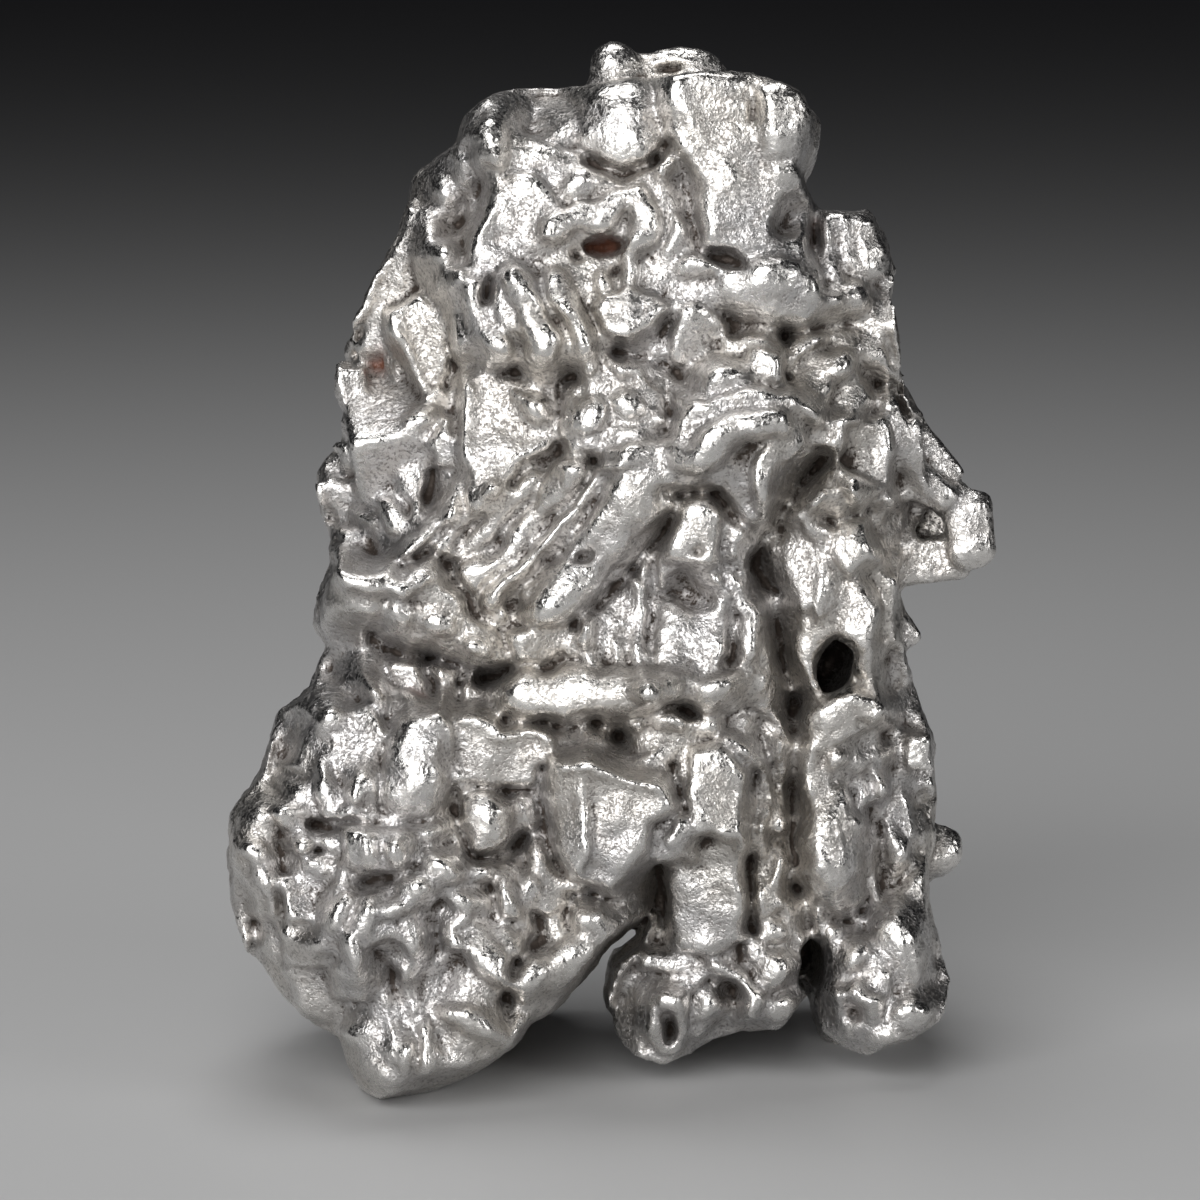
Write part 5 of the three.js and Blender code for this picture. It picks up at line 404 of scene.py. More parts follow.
# Pits: across, up, half length, half width, turn in degrees, depth
PITS = [
    [-0.6,33.8,0.85,0.5,-10,1.6], [-1.7,33.5,0.35,0.4,0,0.7], [-0.2,32.5,0.4,0.3,0,0.6],
    [4.4,33.3,0.85,0.6,-25,1.5], [1.5,37.3,0.4,0.35,0,0.9], [-5.2,31.8,0.25,0.65,-10,1.3],
    [5.4,39.1,0.2,0.45,-20,0.5], [7,34.9,0.8,0.9,0,1.9], [-8.4,32.9,0.35,0.35,0,0.6],
    [-0.1,31,0.17,0.17,0,0.35], [1.2,31,0.17,0.17,0,0.35], [2.9,20,1.05,0.75,0,1], [0.3,19.6,0.6,1,0,0.5],
    [-1.4,21.3,0.55,0.28,20,0.9], [-5,16.7,0.8,0.45,0,1.6], [-9.9,8.2,1,0.4,0,1.2],
    [-13.4,7.5,0.2,0.85,5,0.9], [1.95,2.2,0.25,0.5,-5,0.5], [4.5,3.6,0.6,0.55,0,1],
    [9.8,2.9,0.25,0.5,0,0.6], [9.8,14.6,0.4,0.25,0,0.6], [0.1,14.5,0.4,0.35,0,1],
    [-1.6,27.9,0.3,0.3,0,0.5], [3.4,21.6,0.35,0.3,0,0.5], [2.6,34.9,0.3,0.5,20,0.4],
    [-7,9.7,0.5,0.5,0,0.9], [-12.4,10.3,0.3,0.25,0,0.6], [-11.6,10.5,0.3,0.2,0,0.6],
    [-12.2,9.5,0.5,0.2,0,0.7], [12.2,9.2,0.3,0.5,0,0.8], [8.9,17,0.8,1.3,-15,2],
]

# Masses in the round: across, up, out, three half sizes, turn in degrees, 0 pebble .. 1 brick
SOLIDS = [
    # ring and ball on top
    [-0.1,41.6,1.5,1,1,1,0,0], [2.6,41.55,1.4,1.6,0.85,0.8,3,0], [3.5,41.4,1.4,0.7,0.75,0.7,0,0],
    [1.1,41.6,1.3,0.4,0.55,0.55,0,0], [2.4,40.9,1.2,1.5,0.5,0.75,-3,0], [2.2,40.3,0.4,2.6,0.7,1.5,0,0.3],
    # arm: leaning slab, its rounded end, the lower slab, the recessed web between
    [12,25.9,-0.5,2.2,1.1,1.8,-52,0.85], [12.3,24.8,1.7,1.9,0.5,0.8,-42,0.3],
    [13.8,23.7,1.3,0.75,0.7,0.8,0,0], [14.5,22.5,1,0.85,1.5,1.3,6,0.3],
    [12.6,21.2,-0.1,1.75,0.75,1.5,7,0.8], [12.2,23.4,-2.2,1.9,1.8,1.1,0,0.5],
    [11.4,19,-0.6,1.4,0.5,1,-60,0.6],
    # bead on the right
    [13.7,8.95,-4,0.9,0.95,0.9,0,0], [12.9,8.95,-4,1.1,0.6,0.7,0,0],
    # feet and the broad back
    [-6,4.2,-7.8,2.2,4,2,0,0], [10.3,2.2,-5.4,1.9,2.6,2.1,0,0], [-8.6,1.8,2.8,2,2.5,2.4,0,0],
    [-3,30,-5,6,7,4.6,0,0], [4,17,-5.6,6,8,4.2,0,0], [-6.5,10,-4.5,5,7.5,4.4,0,0],
    [3.8,32.5,-4.6,4.4,5,4,0,0],
]

# Hollows in the round: across, up, out, three half sizes, turn in degrees
CUTS = [
    [8.9,16.9,1.6,0.85,1.6,3.6,-25], [1.8,7.2,5,0.4,1.8,3.5,5], [7.9,4.6,-1,0.75,1.4,4,4],
    [2.1,41.45,2.3,0.7,0.17,0.7,4],
]


# ---- numbers that look random
def frac(x):
    """What is left of a number over the whole below it."""
    return x - np.floor(x)


def lot(i, j, k, n):
    """The fraction of a large multiple of the sine of a sum of the places: 0..1, the same each run."""
    return frac(np.sin(i * 127.1 + j * 311.7 + k * 74.7 + n * 53.3) * 43758.5453)


def waves(x, y, z, n):
    """Eight corner lots of the unit cell, mixed with smoothstep weights: -1..1."""
    i, j, k = np.floor(x), np.floor(y), np.floor(z)
    ease = [t * t * (3 - 2 * t) for t in (x - i, y - j, z - k)]
    total = 0.0
    for c in range(8):
        bits = (c & 1, (c >> 1) & 1, c >> 2)
        share = 1.0
        for bit, e in zip(bits, ease):
            share = share * (e if bit else 1 - e)
        total = total + share * lot(i + bits[0], j + bits[1], k + bits[2], n)
    return 2 * total - 1


def grains(x, y, z, n, lift, rounding, tilt, flat=False):
    """The highest of the nearest tilted domes, each lift + slope . d - rounding * d * d."""
    i, j, k = np.floor(x), np.floor(y), np.floor(z)
    best = np.full(np.shape(x), -9.0)
    for a in (-1, 0, 1):
        for b in (-1, 0, 1):
            for c in (0,) if flat else (-1, 0, 1):
                cell = (i + a, j + b, k + c)
                d = [cell[m] + 0.1 + 0.8 * lot(*cell, n + m) - p for m, p in enumerate((x, y, z))]
                if flat:
                    d.pop()
                top = lift * lot(*cell, n + 3)
                for m, e in enumerate(d):
                    top = top + tilt * (2 * lot(*cell, n + 4 + m) - 1) * e - rounding * e * e
                best = np.maximum(best, top)
    return best


def crumple(u, v, flat):
    """Absolute values of four sizes of waves, crests and creases in turn, calmer over 17 up."""
    flow = lambda size, n: waves(u / size, v / size, flat, n)
    a = u + 0.35 * flow(1.3, 201)
    b = v + 0.35 * flow(1.3, 202)
    calm = 0.35 + 0.65 * np.clip(0.5 + 0.9 * flow(2.7, 203), 0, 1)
    calm = calm * (0.45 + 0.2 * np.clip((17 - v) / 3, 0, 1))
    fold = lambda across, up, n: np.abs(waves(a / across, b / up, flat, n))
    g = 0.34 * fold(1.25, 1.35, 204) - 0.24 * fold(0.85, 0.9, 205)
    g += 0.15 * fold(0.5, 0.5, 206) - 0.09 * fold(0.3, 0.3, 207)
    return calm * g


# ---- joins and distances
def higher(a, b, soft):
    """The larger of two, their meeting line rounded over soft."""
    h = np.clip(0.5 + 0.5 * (a - b) / soft, 0, 1)
    return b + (a - b) * h + soft * h * (1 - h)


def lower(a, b, soft):
    """The smaller of two, their meeting line rounded over soft."""
    return -higher(-a, -b, soft)


def to_run(u, v, a, b):
    """Distance to the straight run a..b and the share of the way along it."""
    eu, ev = b[0] - a[0], b[1] - a[1]
    t = np.clip(((u - a[0]) * eu + (v - a[1]) * ev) / (eu * eu + ev * ev), 0, 1)
    return np.hypot(u - a[0] - t * eu, v - a[1] - t * ev), t


def sides(points):
    """The sides of a closed outline, each as its two ends."""
    return zip(points, points[1:] + points[:1])


def crossing(a, b, v):
    """Where, across, the line a..b reaches a height."""
    return a[0] + (b[0] - a[0]) * (v - a[1]) / (b[1] - a[1])


def inset(u, v, points):
    """Distance to the nearest edge of a closed outline, negative where a ray crosses it evenly."""
    near = np.full(u.shape, 1e9)
    inside = np.zeros(u.shape, bool)
    for a, b in sides(points):
        near = np.minimum(near, to_run(u, v, a, b)[0])
        if a[1] != b[1]:
            inside ^= ((a[1] > v) != (b[1] > v)) & (u < crossing(a, b, v))
    return np.where(inside, near, -near)


def along(u, v, points, levels=None):
    """Distance to an open run of points, and the level carried along it."""
    near = np.full(u.shape, 1e9)
    level = np.zeros(u.shape)
    for n, (a, b) in enumerate(zip(points, points[1:])):
        d, t = to_run(u, v, a, b)
        if levels:
            level = np.where(d < near, levels[n] + (levels[n + 1] - levels[n]) * t, level)
        near = np.minimum(near, d)
    return near, level


def oval(du, dv, a, b, turn):
    """Distance from the middle of a turned ellipse, 1 at its edge."""
    t = math.radians(turn)
    return np.hypot((du * math.cos(t) + dv * math.sin(t)) / a, (dv * math.cos(t) - du * math.sin(t)) / b)


def brick(p, r, corner):
    """Distance to a box whose corners are rounded by a ball."""
    q = [np.abs(x) - s + corner for x, s in zip(p, r)]
    out = np.sqrt(sum(np.maximum(x, 0) ** 2 for x in q))
    return out + np.minimum(np.maximum(np.maximum(q[0], q[1]), q[2]), 0) - corner


def pebble(p, r):
    """Nearly the distance to an ellipsoid: its measure times (measure - 1) over its slope."""
    k0 = np.sqrt(sum((x / s) ** 2 for x, s in zip(p, r)))
    k1 = np.sqrt(sum((x / s ** 2) ** 2 for x, s in zip(p, r)))
    return k0 * (k0 - 1) / np.maximum(k1, 1e-9)


def middle(u, v):
    """A sum of bell curves: how far out the middle plane lies."""
    total = 0.0
    for cu, cv, reach, push in BULGES:
        total = total + push * np.exp(-((u - cu) ** 2 + (v - cv) ** 2) / reach ** 2)
    return total


# ---- the face
def lay(form, rows):
    """Calls a form on each row of its list."""
    for row in rows:
        form(*row)


class Face:
    """The depth of the front over a square net, with places bent a little so no edge is ruled."""

    def __init__(self):
        self.count = [int(round((h - l) / CELL)) + 1 for l, h in zip(LOW, HIGH)]
        u = LOW[0] + CELL * np.arange(self.count[0])
        v = LOW[1] + CELL * np.arange(self.count[1])
        self.true_u, self.true_v = np.meshgrid(u, v, indexing="ij")
        u, v = self.true_u, self.true_v
        flat = np.zeros_like(u)
        self.deep = inset(u, v, OUTLINE)
        self.mid = middle(u, v)
        q = np.clip((RIM - self.deep) / RIM, 0, 1)
        swell = np.where(self.deep > 0, np.sqrt(1 - q * q), -1.5 * np.minimum(-self.deep, 1))
        edge = np.clip(self.deep / 1.5, 0, 1)
        lumps = grains(u / 2.6, v / 3.4, flat, 3, 0.5, 0.5, 0.6, True)
        self.front = self.mid + FRONT * swell + FACE_GRAIN * edge * lumps
        lumps = grains(u / 2.9, v / 3.3, flat, 43, 0.6, 0.5, 0.6, True)
        self.back = self.mid - BACK * swell - 1.7 * edge * lumps
        flow = lambda size, n: waves(u / size, v / size, flat, n)
        self.u = u + 0.32 * flow(1.9, 11) + 0.13 * flow(0.7, 12)
        self.v = v + 0.32 * flow(1.9, 13) + 0.13 * flow(0.7, 14)
        self.sway, self.swing = flow(1.1, 15), flow(1.5, 16)

    def around(self, points, pad):
        """The window of the net within pad of the points."""
        cut = []
        for axis in (0, 1):
            c = [p[axis] for p in points]
            a = int((min(c) - pad - LOW[axis]) / CELL)
            b = int((max(c) + pad - LOW[axis]) / CELL) + 2
            cut.append(slice(max(a, 0), min(b, self.count[axis])))
        return tuple(cut)

    def level(self, u, v):
        """The depth of the front at one place."""
        i, j = (int(round((c - l) / CELL)) for c, l in zip((u, v), LOW))
        return float(self.front[i, j])

    def plate(self, stand, lean_u, lean_v, rounding, points):
        """A leaning plane inside the corners, less a quarter circle toward the edge, steep outside;
        what stood over the plane is pressed down to it."""
        w = self.around(points, 2.2)
        cu, cv = np.mean(points, axis=0)
        d = inset(self.u[w], self.v[w], points)
        rounding *= EDGE_KEPT
        q = np.clip((rounding - d) / rounding, 0, 1)
        drop = np.where(d < 0, rounding - 4.5 * d, rounding - rounding * np.sqrt(1 - q * q))
        top = self.level(cu, cv) + stand + lean_u * (self.u[w] - cu) + lean_v * (self.v[w] - cv)
        top += 0.12 * self.sway[w]
        self.front[w] = higher(self.front[w], top - drop, SHARP)
        self.front[w] += PRESSED * np.clip(d / rounding, 0, 1) * (top - drop - self.front[w])

    def bar(self, stand, half, points):
        """A rounded profile of the distance to a run, carried at the level of its points."""
        w = self.around(points, half + 1.4)
        d, level = along(self.u[w], self.v[w], points, [self.level(*p) + stand for p in points])
        q = np.clip(d / half, 0, 1)
        drop = np.where(d > half, half + 4 * (d - half), half * (1 - np.sqrt(1 - q ** 2.6)))
        self.front[w] = higher(self.front[w], level - drop, SHARP)

    def knob(self, u, v, a, b, turn, height):
        """The cap of an ellipsoid standing a height over the surface, leaning by its own lot."""
        w = self.around([[u, v]], max(a, b) + 1.2)
        least = min(a, b)
        q = oval(self.u[w] - u, self.v[w] - v, a, b, turn)
        cap = KNOB_FULL * least * np.sqrt(np.clip(1 - q * q, 0, 1)) - 3 * least * np.maximum(q - 1, 0)
        lean_u = KNOB_LEAN * (lot(u, v, 0, 17) - 0.5)
        lean_v = KNOB_LEAN * (lot(u, v, 0, 18) - 0.4)
        lean = lean_u * (self.u[w] - u) + lean_v * (self.v[w] - v)
        top = self.level(u, v) + KNOB_RISE * height - KNOB_FULL * least + cap + lean
        self.front[w] = higher(self.front[w], top, KNOB_SOFT)

    def tent(self, height, reach, points):
        """Adds a tent over a run, its reach swaying and its height swinging along the way."""
        reach = 1.7 * reach
        w = self.around(points, 1.4 * reach)
        q = along(self.u[w], self.v[w], points)[0] / (reach * (1 + 0.4 * self.sway[w]))
        self.front[w] += height * (1 + 0.5 * self.swing[w]) * np.clip(1 - q, 0, 1)

    def cleft(self, depth, half, points):
        """Takes a trough with straight sides away along a run."""
        half = max(half, LEAST_CLEFT)
        w = self.around(points, 1.4 * half)
        q = along(self.u[w], self.v[w], points)[0] / (half * (0.9 + 0.3 * self.sway[w]))
        depth = min(depth, CLEFT_STEEP * half) * (0.85 + 0.3 * self.swing[w])
        self.front[w] -= depth * np.clip(1.3 - 1.3 * q, 0, 1)

    def pit(self, u, v, a, b, turn, depth):
        """Takes away a bowl whose depth falls off as a power of one minus the square."""
        w = self.around([[u, v]], max(a, b))
        q = oval(self.u[w] - u, self.v[w] - v, a, b, turn)
        self.front[w] -= depth * np.clip(1 - q * q, 0, 1) ** 0.8

    def chips(self):
        """Small leaning blocks at places spread by two fixed steps, their sizes and leans by lot."""
        for i in range(FACE_CHIPS):
            u = -15.5 + 28.5 * frac(CHIP_STEPS[0] * i + 0.5)
            v = 0.8 + 40.0 * frac(CHIP_STEPS[1] * i + 0.5)
            share = [float(lot(u, v, n, 31)) for n in range(10)]
            size = 0.5 + 0.9 * share[0] ** 1.5
            points = []
            for n in range(5):
                bearing = 1.257 * (n + 0.7 * share[n + 1]) + 6.3 * share[6]
                reach = size * (0.7 + 0.5 * share[n + 2])
                points.append([u + reach * math.cos(bearing), v + 1.2 * reach * math.sin(bearing)])
            self.plate(0.2 + 0.5 * share[7], 1.1 * share[8] - 0.55, 1.1 * share[9] - 0.65, 0.2, points)

    def carve(self):
        """Lays the listed forms on the front in turn, the small ones by rule between them."""
        flat = np.zeros_like(self.u)
        lay(self.pit, DIPS)
        self.front += 0.6 * grains(self.u / 1.25, self.v / 1.5, flat, 21, 0.5, 0.6, 0.6, True)
        self.chips()
        lay(self.plate, PLATES)
        lay(self.bar, BARS)
        lay(self.knob, KNOBS)
        self.front += crumple(self.true_u, self.true_v, flat)
        lay(self.tent, RIDGES)
        lay(self.cleft, CLEFTS)
        lay(self.pit, PITS)
        # no face beyond the outline, and no step finer than the skin can follow
        fall = np.minimum(self.front, self.mid + FRONT + 12 * self.deep)
        self.front = np.where(self.deep < 0, fall, self.front)
        for axis in (0, 1):
            beside = np.roll(self.front, 1, axis) + np.roll(self.front, -1, axis)
            self.front = (1 - 2 * SMOOTHED) * self.front + SMOOTHED * beside
        return self


# ---- the body in the round
def turned(about_out, lean_up, lean_across):
    """The rotation that turns about the out axis, then leans up, then leans across."""
    (ca, cb, cc), (sa, sb, sc) = (f((about_out, lean_up, lean_across)) for f in (np.cos, np.sin))
    about = np.array([[ca, -sa, 0], [sa, ca, 0], [0, 0, 1]])
    up = np.array([[1, 0, 0], [0, cb, -sb], [0, sb, cb]])
    across = np.array([[cc, 0, sc], [0, 1, 0], [-sc, 0, cc]])
    return across @ up @ about


class Body:
    """A field over a box of cells: negative in the metal, zero on its surface."""

    def __init__(self, face):
        self.face = face
        self.out = LOW[2] + CELL * np.arange(face.count[2])
        shrink = []
        for depth in (face.front, face.back):
            gu, gv = np.gradient(depth, CELL)
            shrink.append(1 / np.sqrt(1 + np.minimum(gu * gu + gv * gv, STEEPEST)))
        before = (self.out - face.front[:, :, None]) * shrink[0][:, :, None]
        behind = (face.back[:, :, None] - self.out) * shrink[1][:, :, None]
        self.field = higher(before, behind, RIM_SOFT).astype(np.float32)

    def near(self, centre, reach):
        """The window of the field within reach of a point, and the offsets from it along each axis."""
        cut, places = [], []
        for axis, c in enumerate(centre):
            a = max(int((c - reach - LOW[axis]) / CELL), 0)
            b = min(int((c + reach - LOW[axis]) / CELL) + 2, self.face.count[axis])
            cut.append(slice(a, b))
            shape = [1, 1, 1]
            shape[axis] = -1
            places.append((LOW[axis] + CELL * np.arange(a, b) - c).reshape(shape))
        return tuple(cut), places

    def own(self, places, turns):
        """The offsets in the axes of a thing that is turned and leaned."""
        m = turned(*turns)
        return [sum(p * m[k, axis] for k, p in enumerate(places)) for axis in range(3)]

    def grow(self, centre, r, turns, boxy, soft, keep=None):
        """Melts a block or a pebble in; keep holds it within that much of the outline."""
        cut, places = self.near(centre, 1.5 * max(r) + 0.6)
        p = self.own(places, turns)
        g = brick(p, r, (1 - boxy) * min(r)) if boxy > 0 else pebble(p, r)
        if keep is not None:
            g = np.maximum(g, -(self.face.deep[cut[:2]][:, :, None] + keep))
        self.field[cut] = lower(self.field[cut], g, soft)

    def hollow(self, centre, r, turns):
        """Takes a pebble away."""
        cut, places = self.near(centre, 1.2 * max(r) + 0.6)
        self.field[cut] = higher(self.field[cut], -pebble(self.own(places, turns), r), HOLLOW_SOFT)

    def height(self):
        """How high over the ground each place of the field stands."""
        return self.face.true_v[:, :, None] * math.cos(LEAN) + self.out * math.sin(LEAN)

    def value(self, point):
        """The field at one point, far out when it is outside the box."""
        cell = [int((c - l) / CELL) for c, l in zip(point, LOW)]
        inside = all(0 <= c < n for c, n in zip(cell, self.face.count))
        return float(self.field[tuple(cell)]) if inside else 9.0

    def loose_blocks(self):
        """Golden-ratio heights and random headings, marched out to the surface of flanks and back."""
        for i in range(SIDE_BLOCKS):
            spin = lambda n: float(lot(np.float64(i), np.float64(n), np.float64(5), 9))
            v = LOWEST + SPREAD * ((i * GOLDEN) % 1)
            hits = [crossing(a, b, v) for a, b in sides(OUTLINE) if (a[1] > v) != (b[1] > v)]
            u = min(hits) + (max(hits) - min(hits)) * (0.5 + 0.3 * (spin(2) - 0.5))
            w = float(middle(u, v))
            heading = math.radians(80 + 200 * spin(1))
            step = np.array([math.sin(heading), 0.0, math.cos(heading)])
            start = np.array([u, v, w])
            t = 0.5
            while t < FURTHEST and self.value(start + step * t) < 0:
                t += MARCH
            size = 0.6 + 1.25 * spin(3) ** 1.5
            r = [size * (0.8 + 0.9 * spin(4)), size * (0.6 + 0.5 * spin(5)), size * (0.5 + 0.4 * spin(6))]
            if spin(7) < HOLE_SHARE:
                turns = (6.3 * spin(8), 1.2 * spin(9), heading)
                self.hollow(start + step * (t + 0.1), [0.8 * x for x in r], turns)
            else:
                turns = (6.3 * spin(8), 0.8 * (spin(9) - 0.5), heading + 0.5 * (spin(10) - 0.5))
                boxy = 0.75 if spin(11) < BRICK_SHARE else 0
                self.grow(start + step * (t - 0.25 * size), r, turns, boxy, LOOSE_SOFT, 0.15)

    def side_grains(self):
        """Takes packed grains, bent by waves, from the field where it is near zero off the face."""
        t = np.clip(((self.out - self.face.mid[:, :, None]) / FRONT - 0.05) / 0.5, 0, 1)
        near = np.clip(1 + self.face.deep[:, :, None] / 0.8, 0, 1)
        t = t * near
        side = (1 - t * t * (3 - 2 * t)) * np.clip((self.height() - 0.4) / 2.5, 0, 1)
        side = side * (0.4 + 0.6 * near) * np.clip((GRAINS_TOP - self.face.true_v[:, :, None]) / 0.8, 0, 1)
        pick = np.nonzero((np.abs(self.field) < 1.8) & (side > 0.02))
        near = 0.3 + 0.7 * near[pick[:2] + (0 * pick[2],)]
        u, v, w = self.face.true_u[pick[:2]], self.face.true_v[pick[:2]], self.out[pick[2]]
        bend = lambda n: 0.5 * waves(u / 2.1, v / 2.1, w / 2.1, n)
        a, b, c = u + bend(81), v + bend(82), w + bend(83)
        g = near * SIDE_GRAIN * grains(a / 3.0, b / 3.4, c / 3.0, 61, 0.6, 0.5, 0.8)
        g += (0.3 + 0.3 * near) * grains(a / 1.35, b / 1.5, c / 1.35, 71, 0.6, 0.6, 0.7)
        g += 0.3 * np.abs(waves(a / 0.95, b / 1.05, c / 0.95, 84))
        g -= 0.2 * np.abs(waves(a / 0.6, b / 0.6, c / 0.6, 85))
        self.field[pick] -= (side[pick] * (g - 0.35 * near)).astype(np.float32)

    def rest(self):
        """Cuts the feet level and clears the sides of the box."""
        self.field = np.maximum(self.field, (REST - self.height()).astype(np.float32))
        for axis in range(3):
            for end in (0, -1):
                cut = [slice(None)] * 3
                cut[axis] = end
                self.field[tuple(cut)] = 1


# ---- skinning
CORNERS = np.array([[c & 1, (c >> 1) & 1, c >> 2] for c in range(8)])
EDGES = [(c, c | bit) for c in range(8) for bit in (1, 2, 4) if not c & bit]


def groups(code, sign):
    """How many separate groups the corners of that sign make along the edges of a cell."""
    left = {c for c in range(8) if ((code >> c) & 1) == sign}
    found = 0
    while left:
        found += 1
        todo = [left.pop()]
        while todo:
            c = todo.pop()
            for bit in (1, 2, 4):
                if c ^ bit in left:
                    left.remove(c ^ bit)
                    todo.append(c ^ bit)
    return found


SPLIT = np.array([groups(code, 0) > 1 or groups(code, 1) > 1 for code in range(256)])


def corner_codes(field):
    """Eight bits a cell, one for each corner in the metal."""
    inside = field < 0
    code = np.zeros([n - 1 for n in field.shape], np.uint8)
    for c, offset in enumerate(CORNERS):
        window = tuple(slice(o, n - 1 + o) for o, n in zip(offset, inside.shape))
        code |= inside[window].astype(np.uint8) << c
    return code


def healed(field):
    """Turns the sign of single corners until no cell is crossed twice, so the skin can't pinch."""
    for turn in range(HEAL_TURNS):
        code = corner_codes(field)
        bad = np.argwhere(SPLIT[code])
        if not len(bad):
            break
        corner = (bad[:, None, :] + CORNERS[None]).reshape(-1, 3)
        gain = np.zeros(len(corner), int)
        for c, o in enumerate(CORNERS):
            k = code[tuple((corner - o).T)]
            gain += SPLIT[k].astype(int) - SPLIT[k ^ (1 << c)]
        jitter = 0.3 * lot(corner[:, 0], corner[:, 1], corner[:, 2], turn)
        score = gain - 0.5 * np.abs(field[tuple(corner.T)]) / CELL + jitter
        best = score.reshape(-1, 8).argmax(1) + 8 * np.arange(len(bad))
        if turn % 2 and len(best) > 3:
            best = best[turn % 3::3]
        spot = tuple(np.unique(corner[best], axis=0).T)
        field[spot] = np.where(field[spot] < 0, NUDGE * CELL, -NUDGE * CELL)
    return code


def skinned(field):
    """One point a crossed cell, at the mean of its edge crossings; one four-sided face a crossed edge."""
    code = healed(field)
    cells = np.argwhere((code > 0) & (code < 255))
    corner = cells[:, None, :] + CORNERS[None]
    value = field[corner[..., 0], corner[..., 1], corner[..., 2]]
    total, count = np.zeros((len(cells), 3)), np.zeros(len(cells))
    for a, b in EDGES:
        fa, fb = value[:, a], value[:, b]
        hit = (fa < 0) != (fb < 0)
        t = np.where(hit, fa / np.where(hit, fa - fb, 1), 0)
        total += np.where(hit[:, None], CORNERS[a] + (CORNERS[b] - CORNERS[a]) * t[:, None], 0)
        count += hit
    points = (cells + total / count[:, None]) * CELL + np.array(LOW)
    index = np.full(code.shape, -1, np.int32)
    index[tuple(cells.T)] = np.arange(len(cells))
    inside = field < 0
    faces = []
    for axis in range(3):
        low, high = [slice(None)] * 3, [slice(None)] * 3
        low[axis], high[axis] = slice(0, -1), slice(1, None)
        edge = np.argwhere(inside[tuple(low)] != inside[tuple(high)])
        first = inside[tuple(edge.T)]
        ring = []
        for b, c in ((-1, -1), (0, -1), (0, 0), (-1, 0)):
            cell = edge.copy()
            cell[:, (axis + 1) % 3] += b
            cell[:, (axis + 2) % 3] += c
            ring.append(index[tuple(cell.T)])
        ring = np.stack(ring, 1)
        ring[~first] = ring[~first][:, ::-1]
        faces.append(ring)
    return points, np.concatenate(faces)


def one_body(points, faces):
    """Spreads the lowest index over each joined net, then keeps the net with most points."""
    mark = np.arange(len(points))
    ends = np.concatenate([faces[:, [k, (k + 1) % 4]] for k in range(4)])
    while True:
        least = np.minimum(mark[ends[:, 0]], mark[ends[:, 1]])
        new = mark.copy()
        np.minimum.at(new, ends[:, 0], least)
        np.minimum.at(new, ends[:, 1], least)
        new = new[new]
        if (new == mark).all():
            break
        mark = new
    names, sizes = np.unique(mark, return_counts=True)
    keep = mark == names[sizes.argmax()]
    number = np.cumsum(keep) - 1
    return points[keep], number[faces[keep[faces[:, 0]]]]


# ---- points of a mesh as arrays
def mesh_arrays(mesh):
    """Points, normals and the two ends of each edge."""
    points = np.empty(len(mesh.vertices) * 3)
    mesh.vertices.foreach_get("co", points)
    normals = np.empty(len(mesh.vertices) * 3)
    mesh.vertices.foreach_get("normal", normals)
    ends = np.empty(len(mesh.edges) * 2, np.int32)
    mesh.edges.foreach_get("vertices", ends)
    return points.reshape(-1, 3), normals.reshape(-1, 3), ends.reshape(-1, 2)


def relaxed(values, ends, rounds):
    """Each round moves every point half way to the mean of its neighbours."""
    count = np.bincount(ends.ravel(), minlength=len(values))[:, None]
    for _ in range(rounds):
        near = np.empty_like(values)
        for axis in range(values.shape[1]):
            near[:, axis] = np.bincount(ends[:, 0], values[ends[:, 1], axis], len(values))
            near[:, axis] += np.bincount(ends[:, 1], values[ends[:, 0], axis], len(values))
        values = 0.5 * values + 0.5 * near / count
    return values


def stood_up(points):
    """From across, up, out to x, y, z: the lean taken off about the across axis."""
    u, v, w = points.T
    height = v * math.cos(LEAN) + w * math.sin(LEAN)
    return np.stack([u, v * math.sin(LEAN) - w * math.cos(LEAN), height], 1)


def fine_relief(p):
    """Two sizes of packed small grains and a little smooth swell, in millimetres."""
    x, y, z = p.T
    g = 0.08 * grains(x / 0.62, y / 0.62, z / 0.7, 101, 0.5, 0.7, 0.6)
    return g + 0.03 * waves(x / 0.3, y / 0.3, z / 0.3, 111) - 0.03


def linked(name, data):
    """A new object in the scene."""
    thing = bpy.data.objects.new(name, data)
    bpy.context.collection.objects.link(thing)
    return thing


def put(name, points, faces):
    """A new object with a mesh of these points and faces."""
    mesh = bpy.data.meshes.new(name)
    mesh.from_pydata(points.tolist(), [], faces.tolist())
    return linked(name, mesh)


